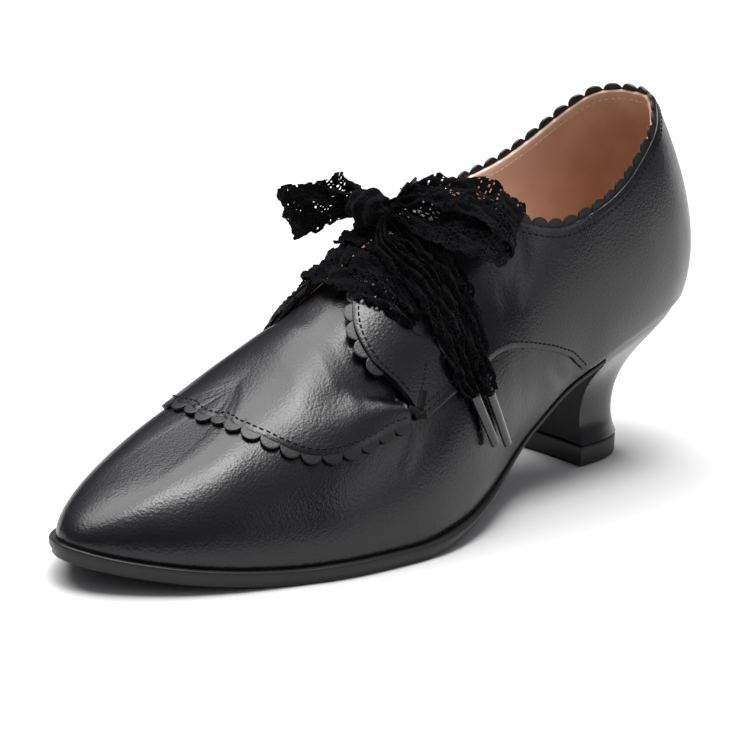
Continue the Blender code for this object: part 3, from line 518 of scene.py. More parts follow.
def calf_leather(name, colour, gloss=0.28, strength=0.32):
    """Smooth finished calf: fine pebbled grain with pores, semi-gloss with cloudier patches."""
    material, tree, shader = surface(name, Base_Color=colour, Roughness=gloss, Specular_IOR_Level=0.40,
                                     Coat_Weight=0.03, Coat_Roughness=0.30)
    place = node(tree, COORDINATES).outputs["Object"]
    pebble = node(tree, "ShaderNodeTexVoronoi",
                  {"Vector": place, "Scale": 1 / 0.0007, "Randomness": 1.0},
                  feature="SMOOTH_F1").outputs["Distance"]
    fine = node(tree, NOISE, blotches(place, 0.0005)).outputs["Fac"]
    both = node(tree, "ShaderNodeMath", {0: pebble, 1: fine}, operation="ADD").outputs[0]
    broad = node(tree, NOISE, blotches(place, 0.012, 2.0)).outputs["Fac"]
    patch = node(tree, SPREAD, {"Value": broad, "From Min": 0.3, "From Max": 0.7,
                                "To Min": gloss - 0.03, "To Max": gloss + 0.07})
    tree.links.new(patch.outputs[0], shader.inputs["Roughness"])
    bump = node(tree, BUMP, {"Height": both, "Strength": strength, "Distance": 0.00018})
    tree.links.new(bump.outputs[0], shader.inputs["Normal"])
    return material


def lining_leather(name, heel_colour_with_painted_shade, toe_colour_with_painted_light, toe_place):
    """Undyed pigskin lining: matt, with faint grain and a random cloudy tone; its colour runs from a
    brown darkened as painted shade inside the heel to a near white lightened as painted light towards
    the toe.
    """
    material, tree, shader = surface(name, Roughness=0.62, Specular_IOR_Level=0.35)
    place = node(tree, COORDINATES).outputs["Object"]
    along = node(tree, "ShaderNodeSeparateXYZ", {0: place}).outputs["X"]
    share = node(tree, SPREAD, {"Value": along, "From Min": -0.02, "From Max": toe_place}).outputs[0]
    cloud = node(tree, NOISE, blotches(place, 0.009)).outputs["Fac"]
    mix = node(tree, "ShaderNodeMath", {0: cloud, 1: 0.25, 2: share}, operation="MULTIPLY_ADD")
    # Painted shade and light: the lining is brown inside the heel and fades to near white towards the
    # toe.
    colour = node(tree, RAMP, {0: mix.outputs[0]}, ((0.1, heel_colour_with_painted_shade), (1.0, toe_colour_with_painted_light)))
    tree.links.new(colour.outputs[0], shader.inputs["Base Color"])
    fine = node(tree, NOISE, blotches(place, 0.0006)).outputs["Fac"]
    bump = node(tree, BUMP, {"Height": fine, "Strength": 0.25, "Distance": 0.0001})
    tree.links.new(bump.outputs[0], shader.inputs["Normal"])
    return material


def pressed_fibre(name, colour, rough):
    """Painted edge or moulded composition: near black, matt, with a faint sanded texture."""
    material, tree, shader = surface(name, Base_Color=colour, Roughness=rough, Specular_IOR_Level=0.4)
    place = node(tree, COORDINATES).outputs["Object"]
    fine = node(tree, NOISE, blotches(place, 0.0005, 4.0, 0.7)).outputs["Fac"]
    broad = node(tree, NOISE, blotches(place, 0.006)).outputs["Fac"]
    patch = node(tree, SPREAD, {"Value": broad, "To Min": rough - 0.08, "To Max": rough + 0.10})
    tree.links.new(patch.outputs[0], shader.inputs["Roughness"])
    bump = node(tree, BUMP, {"Height": fine, "Strength": 0.22, "Distance": 0.00015})
    tree.links.new(bump.outputs[0], shader.inputs["Normal"])
    return material


def lace_cotton(name, colour):
    """Black cotton lace: matt looped threads, drawn 0.8 mm apart to show, with hardly any sheen."""
    material, tree, shader = surface(name, Base_Color=colour, Roughness=1.0, Specular_IOR_Level=0.04,
                                     Sheen_Weight=0.02, Sheen_Roughness=0.5)
    place = node(tree, "ShaderNodeUVMap", uv_map="flat").outputs[0]
    loops = node(tree, "ShaderNodeTexVoronoi",
                 {"Vector": place, "Scale": 1 / 0.0008, "Randomness": 0.55}).outputs["Distance"]
    # Painted shade and sheen: the loops are lighter on their raised middles and darker in the hollows
    # between them.
    painted_loop_shade = node(tree, RAMP, {0: loops}, ((0.0, linear("#131316")), (0.7, linear("#040405"))))
    tree.links.new(painted_loop_shade.outputs[0], shader.inputs["Base Color"])
    bump = node(tree, BUMP, {"Height": loops, "Strength": 0.8, "Distance": 0.0004}, invert=True)
    tree.links.new(bump.outputs[0], shader.inputs["Normal"])
    return material


def thread(name, colour):
    """Waxed polyester thread: twisted strands that break up its dull shine."""
    material, tree, shader = surface(name, Base_Color=colour, Roughness=0.75, Specular_IOR_Level=0.2)
    place = node(tree, COORDINATES).outputs["Object"]
    twist = node(tree, NOISE, blotches(place, 0.0003, 1.0)).outputs["Fac"]
    bump = node(tree, BUMP, {"Height": twist, "Strength": 0.4, "Distance": 0.0001})
    tree.links.new(bump.outputs[0], shader.inputs["Normal"])
    return material


def smoked_film(name, colour):
    """Heat-shrunk acetate film: smoky, half clear, glossy, with faint streaks along the roll."""
    material, tree, shader = surface(name, Base_Color=colour, Roughness=0.22, IOR=1.48,
                                     Transmission_Weight=0.35, Coat_Weight=0.4)
    place = node(tree, COORDINATES).outputs["Object"]
    small = node(tree, NOISE, blotches(place, 0.0015)).outputs["Fac"]
    patch = node(tree, SPREAD, {"Value": small, "To Min": 0.12, "To Max": 0.34})
    tree.links.new(patch.outputs[0], shader.inputs["Roughness"])
    streaks = node(tree, NOISE, blotches(place, 0.002)).outputs["Fac"]
    bump = node(tree, BUMP, {"Height": streaks, "Strength": 0.3, "Distance": 0.0003})
    tree.links.new(bump.outputs[0], shader.inputs["Normal"])
    return material


def floor_paper(name, colour):
    """Matt white background paper with the faintest tooth."""
    material, tree, shader = surface(name, Base_Color=colour, Roughness=0.85, Specular_IOR_Level=0.2)
    place = node(tree, COORDINATES).outputs["Object"]
    tooth = node(tree, NOISE, blotches(place, 0.002)).outputs["Fac"]
    bump = node(tree, BUMP, {"Height": tooth, "Strength": 0.05, "Distance": 0.0001})
    tree.links.new(bump.outputs[0], shader.inputs["Normal"])
    return material


class ShoeSizes(bpy.types.PropertyGroup):
    scallop_pitch: bpy.props.FloatProperty(
        name="Scallop pitch", description="Distance between scallops",
        default=0.0060, unit="LENGTH")
    scallop_height: bpy.props.FloatProperty(
        name="Scallop height", description="How far a scallop stands past its edge",
        default=0.0030, unit="LENGTH")
    stitch_pitch: bpy.props.FloatProperty(
        name="Stitch pitch", description="Distance between stitches",
        default=0.0021, unit="LENGTH")
    stitch_width: bpy.props.FloatProperty(
        name="Stitch width", description="Thickness of the thread",
        default=0.00052, unit="LENGTH")
    lace_width: bpy.props.FloatProperty(
        name="Lace width", description="Flat width of the lace ribbon",
        default=0.026, unit="LENGTH")


class ShoeColours(bpy.types.PropertyGroup):
    leather: bpy.props.FloatVectorProperty(
        name="Leather", description="Colour of the calf leather",
        default=linear("#07070C"), size=4, subtype="COLOR")
    # The lining's heel colour is darkened as painted shade inside the heel.
    lining: bpy.props.FloatVectorProperty(
        name="Lining", description="Colour of the lining at the heel",
        default=linear("#A98163"), size=4, subtype="COLOR")
    # The lining's front colour is lightened as painted light, against the bow's shade on it.
    lining_front_painted_light: bpy.props.FloatVectorProperty(
        name="Lining front", description="Colour of the lining towards the toe",
        default=linear("#FFE6D6"), size=4, subtype="COLOR")
    sole: bpy.props.FloatVectorProperty(
        name="Sole", description="Colour of the sole and lift",
        default=linear("#0A0A0C"), size=4, subtype="COLOR")
    lace: bpy.props.FloatVectorProperty(
        name="Lace", description="Colour of the lace ribbon",
        default=linear("#0B0B0D"), size=4, subtype="COLOR")
    floor: bpy.props.FloatVectorProperty(
        name="Floor", description="Colour of the paper floor",
        default=linear("#C8C8C8"), size=4, subtype="COLOR")


FINISH = {}
HEEL_SHADE_FADES_BY = 0.060          # where the lining's painted heel shade has given way to its pale toe colour, in front of the heel's middle


class SHOE_OT_finishes(bpy.types.Operator):
    """Make the materials of the shoe and the floor"""
    bl_idname = "shoe.finishes"
    bl_label = "Finishes"

    def execute(self, context):
        colours = context.scene.shoe_colours
        FINISH["leather"] = calf_leather("black_calf_leather", colours.leather)
        # The scallops' leather, also used for the facings' backings, is painted a touch darker than the
        # calf, as painted shade about the scalloped edges.
        FINISH["edging"] = calf_leather("scalloped_leather_edge", linear("#060608"), 0.42, 0.30)
        FINISH["heel"] = calf_leather("heel_cover_leather", colours.leather, 0.26, 0.16)
        FINISH["breast"] = pressed_fibre("breast_flap_painted", linear("#040405"), 0.70)
        FINISH["lining"] = lining_leather("beige_pigskin_lining", colours.lining,
                                          colours.lining_front_painted_light, HEEL_SHADE_FADES_BY)
        # Seam bead: black edge paint, and painted shade under the quarter's edge.
        FINISH["edge_paint"] = pressed_fibre("painted_edge_and_seam_shade", linear("#020203"), 0.85)
        FINISH["sole"] = pressed_fibre("painted_sole_edge", colours.sole, 0.46)
        FINISH["lace"] = lace_cotton("black_cotton_lace", colours.lace)
        FINISH["thread"] = thread("black_waxed_thread", linear("#040404"))
        FINISH["cream_thread"] = thread("cream_waxed_thread", linear("#CDB08F"))
        FINISH["aglet"] = smoked_film("smoked_acetate_film", linear("#191B1D"))
        FINISH["floor"] = floor_paper("white_background_paper", colours.floor)
        return {"FINISHED"}


CAMERA_PLACE = (0.65265, 0.57263, 0.27681)
CAMERA_AHEAD = (-0.67055, -0.68613, -0.28213)
CAMERA_RIGHT = (-0.72346, 0.68897, 0.04393)
CAMERA_LENS = 134.9
SENSOR = 36.0
FLOOR_SIZE = 9.0
# Softboxes: azimuth, elevation, power, width as an angle
SOFTBOXES = {"high_softbox": (8, 76, 4.6, 60), "top_softbox": (150, 80, 1.7, 24),
             "side_softbox": (202, 18, 0.25, 24)}
# The studio's grey by height, from the horizon up
STUDIO = ((0.05, linear("#141419")), (0.34, linear("#63636A")), (0.90, linear("#C0C0C2")))
STUDIO_STRENGTH = 1.15


class SHOE_OT_stage(bpy.types.Operator):
    """Add the paper floor, the soft studio light and the camera"""
    bl_idname = "shoe.stage"
    bl_label = "Stage"

    def execute(self, context):
        scene = context.scene
        bpy.ops.object.select_all(action="DESELECT")
        bpy.ops.mesh.primitive_plane_add(size=FLOOR_SIZE, location=(0, 0, 0))
        floor = context.active_object
        floor.name = "paper_floor"
        floor.data.materials.append(FINISH["floor"])
        ahead = Vector(CAMERA_AHEAD).normalized()
        right = Vector(CAMERA_RIGHT).normalized()
        up = right.cross(ahead)
        bpy.ops.object.camera_add()
        camera = context.active_object
        turn = Matrix((right, up, -ahead)).transposed().to_4x4()
        camera.matrix_world = Matrix.Translation(CAMERA_PLACE) @ turn
        camera.data.lens = CAMERA_LENS
        camera.data.sensor_width = SENSOR
        camera.data.clip_start = 0.02
        camera.data.clip_end = 40
        scene.camera = camera
        for name, (azimuth, elevation, power, spread) in SOFTBOXES.items():
            turn, lift = radians(azimuth), radians(elevation)
            way = Vector((sin(turn) * cos(lift), -cos(turn) * cos(lift), sin(lift)))
            bpy.ops.object.light_add(type="SUN", location=way * 2)
            light = context.active_object
            light.name = name
            light.rotation_euler = (-way).to_track_quat("-Z", "Y").to_euler()
            light.data.energy = power
            light.data.angle = radians(spread)
        world = bpy.data.worlds.new("studio")
        world.use_nodes = True
        scene.world = world
        tree = world.node_tree
        back = tree.nodes["Background"]
        way = node(tree, COORDINATES).outputs["Generated"]
        height = node(tree, "ShaderNodeSeparateXYZ", {0: way}).outputs["Z"]
        grey = node(tree, RAMP, {0: height}, STUDIO).outputs[0]
        tree.links.new(grey, back.inputs["Color"])
        back.inputs["Strength"].default_value = STUDIO_STRENGTH
        scene.view_settings.view_transform = "Standard"
        return {"FINISHED"}


def both_sides(at):
    """Row numbers and sides: the outer side heel to toe, then the inner side back."""
    return np.concatenate([at, at[-2:0:-1]]), np.concatenate([np.ones(len(at)), -np.ones(len(at) - 2)])


def upper_lines(at, side):
    """Columns of the upper's table at row numbers, with its stations."""
    foot, seam, seam_rise, top, top_rise, step = table_rows(UPPER, at).T
    return (station_at(foot, side), station_at(seam, side), seam_rise,
            station_at(top, side), top_rise, np.clip(step, 0, 1))


def seam_to_top(end, top_rise, middle, seam_rise):
    """Distance from the seam to the top edge."""
    return np.linalg.norm(last_point(end, top_rise) - last_point(middle, seam_rise), axis=1)


class SHOE_OT_vamp(bpy.types.Operator):
    """Make the lower leather from the sole to under the quarters and the apron"""
    bl_idname = "shoe.vamp"
    bl_label = "Vamp"

    def execute(self, context):
        at, side = both_sides(np.linspace(0, len(UPPER) - 1, 231))
        start, middle, seam_rise, end, top_rise, _ = upper_lines(at, side)
        lap = np.interp(at, (15, QUARTER_TIP, QUARTER_TIP + 1), (0.07, 1.0, 1.0))
        share = np.linspace(0, 1, 30)
        on_seam = 0.62             # share of the columns that lie below the seam
        below = np.clip(share / on_seam, 0, 1)
        above = np.clip((share - on_seam) / (1 - on_seam), 0, 1) * lap[:, None]
        rise = seam_rise[:, None] * below + (top_rise - seam_rise)[:, None] * above
        station = start[:, None] + (middle - start)[:, None] * below + (end - middle)[:, None] * above
        outer = leather_point(station, rise, 0.0)
        inner = off_last(station, rise, -SKIN)
        finish_piece(slab("vamp", outer, inner, closed=True), FINISH["leather"], ["upper"])
        return {"FINISHED"}


class SHOE_OT_quarters(bpy.types.Operator):
    """Make the raised quarters that lap over the vamp and carry the facings"""
    bl_idname = "shoe.quarters"
    bl_label = "Quarters"

    def execute(self, context):
        at = np.linspace(0, QUARTER_TIP, 160)
        side = np.concatenate([np.ones(len(at) - 1), -np.ones(len(at))])
        at = np.concatenate([at[:0:-1], at])
        _, middle, seam_rise, end, top_rise, _ = upper_lines(at, side)
        turned = side > 0
        end = np.where(turned, end, end - TURN)
        middle = np.where(turned, middle, middle - TURN)
        share = np.linspace(0, 1, 34)
        rise = seam_rise[:, None] + (top_rise - seam_rise)[:, None] * share
        station = middle[:, None] + (end - middle)[:, None] * share
        outer = leather_point(station, rise, QUARTER_STEP)
        inner = off_last(station, rise, QUARTER_STEP - SKIN)
        finish_piece(slab("quarters", outer, inner), FINISH["leather"], ["upper"])
        return {"FINISHED"}


class SHOE_OT_lining(bpy.types.Operator):
    """Make the lining up to its top edge, the black backings of the facings, and the sock"""
    bl_idname = "shoe.lining"
    bl_label = "Lining"

    def execute(self, context):
        at, side = both_sides(np.linspace(0, len(UPPER) - 1, 171))
        start, middle, seam_rise, end, top_rise, step = upper_lines(at, side)
        share = np.linspace(0, 1, 26) ** 0.8
        short = np.clip(LINING_SHORT / seam_to_top(end, top_rise, middle, seam_rise), 0, 0.96)
        short = short * np.clip((at - COLLAR_CORNER) / 0.6, 0, 1)
        short *= np.clip((QUARTER_TIP + 1.0 - at) / 0.5, 0, 1)
        end = end + (middle - end) * short
        top_rise = top_rise + (seam_rise - top_rise) * short
        bend = 4 * share * (1 - share)
        on_seam = (seam_rise / top_rise)[:, None]
        station = (start[:, None] + (end - start)[:, None] * share
                   + (middle[:, None] - start[:, None] - (end - start)[:, None] * on_seam) * bend)
        rise = top_rise[:, None] * share
        high = np.clip((share - 0.72) / 0.25, 0, 1) * step[:, None]
        almost = SKIN - 0.00001    # the top edge rises nearly flush with the leather
        outer = off_last(station, rise, -SKIN - HAIR + almost * high)
        inner = off_last(station, rise, -WALL)
        finish_piece(slab("lining", outer, inner, closed=True), FINISH["lining"], ["upper"])
        for name, side in (("facing_backing_left", 1), ("facing_backing_right", -1)):
            at = np.linspace(COLLAR_CORNER - 0.05, QUARTER_TIP + 0.9, 60)
            _, middle, seam_rise, end, top_rise, _ = upper_lines(at, side)
            across = seam_to_top(end, top_rise, middle, seam_rise)
            share = 1 - np.clip(BACKING_WIDTH / across, 0, 1)[:, None] * np.linspace(1, 0, 9)
            rise = seam_rise[:, None] + (top_rise - seam_rise)[:, None] * share
            station = middle[:, None] + (end - middle)[:, None] * share
            outer = off_last(station, rise, -HAIR / 2)
            inner = off_last(station, rise, -WALL - 4 * HAIR)
            finish_piece(slab(name, outer, inner), FINISH["edging"], ["upper"])
        rings = []
        for number in np.linspace(0.5, TOE - 1.7, 90):
            pair = []
            for place in (number, TURN - number):
                row, out = at_station(place)
                pair.append(row[:2] - out * (WALL + 2 * GAP - vamp_level(place)))
            line = pair[0] + (pair[1] - pair[0]) * np.linspace(0, 1, 15)[:, None]
            height = seat(line[:, 0]) + INSOLE_THICKNESS
            rings.append(np.concatenate([line, height[:, None]], axis=1))
        top = np.array(rings)
        low = top - (0, 0, INSOLE_THICKNESS)
        finish_piece(slab("sock", top, low), FINISH["lining"], ["insole"])
        return {"FINISHED"}


def level_height(level):
    """Outer surface of the apron at a level, from the last."""
    return np.where(level > 0, (LAP_GAP + APRON_THICKNESS) * level, (WALL + TONGUE_DROP) * level)


class SHOE_OT_apron(bpy.types.Operator):
    """Make the apron that ends in a U under its scallops and runs back as the tongue"""
    bl_idname = "shoe.apron"
    bl_label = "Apron"

    def execute(self, context):
        at = np.linspace(0, len(APRON) - 1, 190)
        rows = table_rows(APRON, at, steady=True)
        ridge, edge, edge_rise, edge_level, lap_level, inner_level, lap_end, ease_end = (
            column[:, None] for column in rows.T)
        tip = len(APRON) - 2
        to_toe = np.clip(at - tip, 0, 1)[:, None]
        edge, ridge = (column + (LAST[-1][0] - APRON[-1][0]) * to_toe for column in (edge, ridge))
        near = np.linspace(0, 1, 4)
        past = np.concatenate([
            lap_end * near, lap_end + (ease_end - lap_end) * np.linspace(0, 1, 7)[1:],
            ease_end + (1 - edge_rise - ease_end) * np.linspace(0, 1, 22)[1:]], axis=1)
        rise = np.minimum(edge_rise + past, 0.995)
        share = past / (1 - edge_rise)
        lap = np.clip(past / lap_end, 0, 1)
        ease = np.clip((past - lap_end) / (ease_end - lap_end), 0, 1)
        ease = ease * ease * (3 - 2 * ease)
        level = (edge_level + (lap_level - edge_level) * lap) * (1 - ease) + inner_level * ease
        height = level_height(level)
        grids = []
        for drop in (0.0, APRON_THICKNESS):
            halves = []
            for side in (1, -1):
                low, high = station_at(edge, side), station_at(ridge, side)
                halves.append(leather_point(low + (high - low) * share, rise, height - drop))
            left, right = halves
            middle = (left[:, -1:] + right[:, -1:]) / 2
            grids.append(np.concatenate([left[:, :-1], middle, right[:, -2::-1]], axis=1))
        piece = slab("apron_and_tongue", *grids, folded=True)
        finish_piece(piece, FINISH["leather"], ["apron_tongue"])
        return {"FINISHED"}


def edge_frames(stations, rises, height, outward):
    """Path on the last with its outward direction in the surface and its normal."""
    path = off_last(stations, rises, height)
    normal = last_normal(stations, rises)
    out = np.cross(np.gradient(path, axis=0), normal) * outward
    return path, out / np.linalg.norm(out, axis=1, keepdims=True), normal


def edge_line(table, columns, first, last, step=0.125):
    rows = table_rows(table, np.arange(first, last + step / 2, step))
    return rows[:, columns[0]], rows[:, columns[1]]


def collar_path(height, first=0, last=COLLAR_CORNER):
    shares, rises = edge_line(UPPER, (3, 4), first, last)
    stations = station_at(shares, 1)
    stations = np.concatenate([stations[::-1], -stations[1:]])
    return edge_frames(stations, np.concatenate([rises[::-1], rises[1:]]), height, -1)


def facing_path(side, height, last=FACING_END):
    shares, rises = edge_line(UPPER, (3, 4), COLLAR_CORNER + 0.25, last)
    return edge_frames(station_at(shares, side), rises, height, side)


def seam_path(side, height, first=7.4, last=QUARTER_TIP):
    shares, rises = edge_line(UPPER, (1, 2), first, last)
    return edge_frames(station_at(shares, side), rises, height, side)


def apron_path(height):
    shares, rises = edge_line(APRON, (1, 2), APRON_START, len(APRON) - 1)
    stations = np.concatenate([station_at(shares, 1), station_at(shares[-2::-1], -1)])
    return edge_frames(stations, np.concatenate([rises, rises[-2::-1]]), height, -1)


SCALLOP_OVERLAP = 1.04     # a scallop's width as a share of the pitch
SCALLOP_THICKNESS = 0.0009


class SHOE_OT_scallops(bpy.types.Operator):
    """Cut the scalloped leather strips along the collar, the facings and the apron"""
    bl_idname = "shoe.scallops"
    bl_label = "Scallops"

    def execute(self, context):
        sizes = context.scene.shoe_sizes
        bpy.ops.object.select_all(action="DESELECT")
        bpy.ops.mesh.primitive_circle_add(vertices=24, radius=0.5, fill_type="NGON")
        bpy.ops.object.mode_set(mode="EDIT")
        bpy.ops.mesh.select_all(action="SELECT")
        bpy.ops.mesh.extrude_region_move(TRANSFORM_OT_translate={"value": (0, 0, 1)})
        bpy.ops.object.mode_set(mode="OBJECT")
        piece = context.active_object
        for vertex in piece.data.vertices:
            vertex.co.z -= 0.5
            if vertex.co.y < 0:
                vertex.co.y *= 1.3
        bevel = piece.modifiers.new("soft edge", "BEVEL")
        bevel.width = 0.09
        bevel.segments = 2
        bevel.limit_method = "ANGLE"
        bevel.angle_limit = radians(60)
        bpy.ops.object.modifier_apply(modifier=bevel.name)
        unit = unit_shape()
        middle = (QUARTER_STEP - WALL) / 2 + 0.0002
        jobs = (("collar_scallops", collar_path(middle), ["collar_trim"]),
                ("facing_scallops_left", facing_path(1, middle), ["facing_trim_left"]),
                ("facing_scallops_right", facing_path(-1, middle), ["facing_trim_right"]),
                ("apron_scallops", apron_path(LAP_GAP + APRON_THICKNESS / 2 - 0.0001), ["apron_trim"]))
        for name, (path, out, normal), nodes in jobs:
            path = path + crease_height(path)[:, None] * normal
            (origin, along, away, up), pitch = spaced(path, (out, normal), sizes.scallop_pitch)
            frames = []
            for point, a, b, c in zip(origin, along, away, up):
                centre = point + b * (sizes.scallop_height - 0.5 * pitch * SCALLOP_OVERLAP)
                frames.append((centre, a * pitch * SCALLOP_OVERLAP, b * pitch * SCALLOP_OVERLAP,
                               c * SCALLOP_THICKNESS))
            finish_piece(copies(name, unit, frames), FINISH["edging"], nodes, 35)
        return {"FINISHED"}


def stitch_unit():
    """One thread stitch, a unit long, lying along x."""
    bpy.ops.object.select_all(action="DESELECT")
    bpy.ops.mesh.primitive_cylinder_add(vertices=8, radius=0.5, depth=1.0, rotation=(0, radians(90), 0))
    bpy.ops.object.transform_apply(location=True, rotation=True, scale=True)
    piece = bpy.context.active_object
    bpy.ops.object.mode_set(mode="EDIT")
    bpy.ops.mesh.select_all(action="SELECT")
    bpy.ops.mesh.bisect(plane_co=(0.3, 0, 0), plane_no=(1, 0, 0))
    bpy.ops.mesh.select_all(action="SELECT")
    bpy.ops.mesh.bisect(plane_co=(-0.3, 0, 0), plane_no=(1, 0, 0))
    bpy.ops.object.mode_set(mode="OBJECT")
    for vertex in piece.data.vertices:
        if abs(vertex.co.x) > 0.4:
            vertex.co.y *= 0.4
            vertex.co.z = vertex.co.z * 0.4 - 0.35
    return unit_shape()


def bead(name, path, radius):
    """Round bead along a path."""
    curve = bpy.data.curves.new(name, "CURVE")
    curve.dimensions = "3D"
    curve.bevel_depth = radius
    curve.bevel_resolution = 3
    curve.use_fill_caps = True
    line = curve.splines.new("POLY")
    line.points.add(len(path) - 1)
    for point, place in zip(line.points, path - ORIGIN):
        point.co = (*place, 1)
    piece = bpy.data.objects.new(name, curve)
    bpy.context.scene.collection.objects.link(piece)
    pick(piece)
    bpy.ops.object.convert(target="MESH")
    return bpy.context.active_object


def sewn(path, ways, pitch, width, long=0.7, wide=1.0, thick=1.0, lift=0.0):
    """Frames of stitches along a path: long is a share of the pitch, the rest of the thread."""
    (origin, along, out, up), pitch = spaced(path, ways, pitch)
    frames = []
    for point, a, b, c in zip(origin, along, out, up):
        frames.append((point + c * width * lift, a * pitch * long, b * width * wide, c * width * thick))
    return frames


# How far the rows of stitches lie from their edges, in metres
COLLAR_ROW = 0.0026
FACING_ROW = 0.0014
SEAM_ROWS = (0.0014, 0.0032)
APRON_ROW = 0.0016
LINING_ROW = 0.0018
SECOND_ROW_START = 14.5    # line where the seam's second row starts
DOT_PITCH = 0.0014         # short close row at the facing's foot
EDGE_PAINT_AND_SHADE = 0.00045       # half the thickness of the dark seam bead: edge paint, and painted shade under the quarter's edge
LINING_SEAM = 0.232        # share of LENGTH at the lining's side seams
# Bar tacks: first and last place as share and rise, and the number of stitches
TACKS = (((0.598, 0.405), (0.588, 0.440), 16), ((0.603, 0.400), (0.612, 0.420), 12),
         ((0.594, 0.385), (0.606, 0.392), 12))
TACK_LENGTH = 0.0024


class SHOE_OT_stitching(bpy.types.Operator):
    """Sew the rows of stitches and the bar tacks"""
    bl_idname = "shoe.stitching"
    bl_label = "Stitching"

    def execute(self, context):
        sizes = context.scene.shoe_sizes
        pitch, width = sizes.stitch_pitch, sizes.stitch_width
        unit = stitch_unit()
        above = QUARTER_STEP
        near_tip = QUARTER_TIP - 0.4
        both = (1, -1)
        rows = [(collar_path(above, 0, COLLAR_CORNER - 0.2), -COLLAR_ROW)]
        rows += [(facing_path(side, above, QUARTER_TIP - 0.6), -FACING_ROW) for side in both]
        rows += [(seam_path(side, above), SEAM_ROWS[0]) for side in both]
        rows += [(seam_path(side, above, SECOND_ROW_START, near_tip), SEAM_ROWS[1]) for side in both]
        rows.append((apron_path(LAP_GAP + APRON_THICKNESS), -APRON_ROW))
        frames = []
        for (path, out, normal), shift in rows:
            moved = path + out * shift
            moved += crease_height(moved)[:, None] * normal
            frames += sewn(moved, (out, normal), pitch, width, 0.72, thick=0.8, lift=0.15)
        for side in both:
            frames += self.tacks(side, width)
            station = station_at(np.linspace(0.590, 0.574, 20), side)
            path, out, normal = edge_frames(station, np.linspace(0.445, 0.505, 20), above, 1)
            frames += sewn(path, (out, normal), DOT_PITCH, width, wide=1.2, thick=1.2)
        finish_piece(copies("upper_stitches", unit, frames), FINISH["thread"], (), 50)
        # Dark matt bead at the foot of the quarter's edge: its edge paint, and painted shade where the
        # quarter steps down onto the vamp.
        for name, side in (("seam_edge_paint_left", 1), ("seam_edge_paint_right", -1)):
            path, out, normal = seam_path(side, above - 0.0005, 6.5, QUARTER_TIP)
            path = path + crease_height(path)[:, None] * normal
            finish_piece(bead(name, path, EDGE_PAINT_AND_SHADE), FINISH["edge_paint"], (), 60)
        path, out, normal = collar_path(-0.0001, 0, COLLAR_CORNER)
        inner = path - normal * WALL + out * -LINING_ROW
        frames = sewn(inner, (out, normal), pitch, width)
        for side in both:
            rise = np.linspace(0.40, 0.93, 30)
            station = station_at(np.full(30, LINING_SEAM), side)
            for shift in (-0.3, 0.3):
                line, across, normal = edge_frames(station, rise, -WALL, 1)
                line = line + across * shift * 3 * MM
                frames += sewn(line, (across, normal), pitch, width, thick=0.8)
        piece = copies("lining_stitches", unit, frames)
        finish_piece(piece, FINISH["cream_thread"], (), 50)
        return {"FINISHED"}

    def tacks(self, side, width):
        """Bars of close satin stitch that hold the facing's foot and the quarter's corner."""
        frames = []
        for first, last, count in TACKS:
            share = np.linspace(0, 1, count)
            station = station_at(first[0] + (last[0] - first[0]) * share, side)
            rise = first[1] + (last[1] - first[1]) * share
            path, out, normal = edge_frames(station, rise, QUARTER_STEP, 1)
            for point, a, b in zip(path, out, normal):
                along = np.cross(a, b)
                frames.append((point + b * width * 0.4, a * TACK_LENGTH, along * width * 1.5,
                               b * width * 1.7))
        return frames


def sole_ring(station):
    """Edge of the sole at a station, and the way out there."""
    row, out = at_station(station)
    welt = SOLE_WELT * np.clip((row[..., 0] / LENGTH - 0.42) / 0.14, -0.5, 1)
    return row[..., :2], out, welt


def sole_bottom(x):
    """Underside of the outsole: flat at the ball, thinner under the arch."""
    share = np.clip((0.60 - x / LENGTH) / 0.12, 0, 1)
    return seat(x) - SOLE_THICKNESS - (WAIST_THICKNESS - SOLE_THICKNESS) * share


# Profile of the sole's edge, top to bottom: rounding, shift outwards in mm, share of the drop
SOLE_EDGE = (
    (0.0, -0.30, 0.00), (0.0, 0.0, 0.05), (0.0, 0.12, 0.14), (0.0, 0.0, 0.5), (1.0, -0.12, 0.80),
    (1.0, -0.02, 0.93), (1.0, -0.35, 1.0),
)


class SHOE_OT_outsole(bpy.types.Operator):
    """Make the thin sole with its rounded, painted edge"""
    bl_idname = "shoe.outsole"
    bl_label = "Outsole"

    def execute(self, context):
        front = float(station_at((BREAST_TOP + GAP) / LENGTH, 1))
        place = np.linspace(0, 1, 170)
        stations = front + (TOE - front) * place
        rings = []
        for station in stations:
            sides = []
            for at in (station, TURN - station):
                edge, out, welt = sole_ring(at)
                line = []
                for draw, shift, drop in SOLE_EDGE:
                    xy = edge + out * (welt - SOLE_ROUND * draw * 0.8 + shift * MM)
                    top = seat(xy[0]) - GAP
                    line.append((*xy, top + (sole_bottom(xy[0]) - top) * drop))
                sides.append(np.array(line))
            share = np.linspace(0, 1, 12)[1:-1, None]
            across_top = sides[1][0] + (sides[0][0] - sides[1][0]) * share
            across_low = sides[0][-1] + (sides[1][-1] - sides[0][-1]) * share
            across_top[:, 2] = seat(across_top[:, 0]) - GAP
            across_low[:, 2] = sole_bottom(across_low[:, 0])
            rings.append(np.concatenate([sides[0], across_low, sides[1][::-1], across_top]))
        rings = np.array(rings)
        count, size = rings.shape[:2]
        faces = ring_faces(count, size)
        faces.append(tuple(range(size)))
        faces.append(tuple((count - 1) * size + corner for corner in range(size)))
        piece = mesh_piece("outsole_edge", rings.reshape(-1, 3), faces)
        finish_piece(piece, FINISH["sole"], ["outsole"], 50)
        return {"FINISHED"}


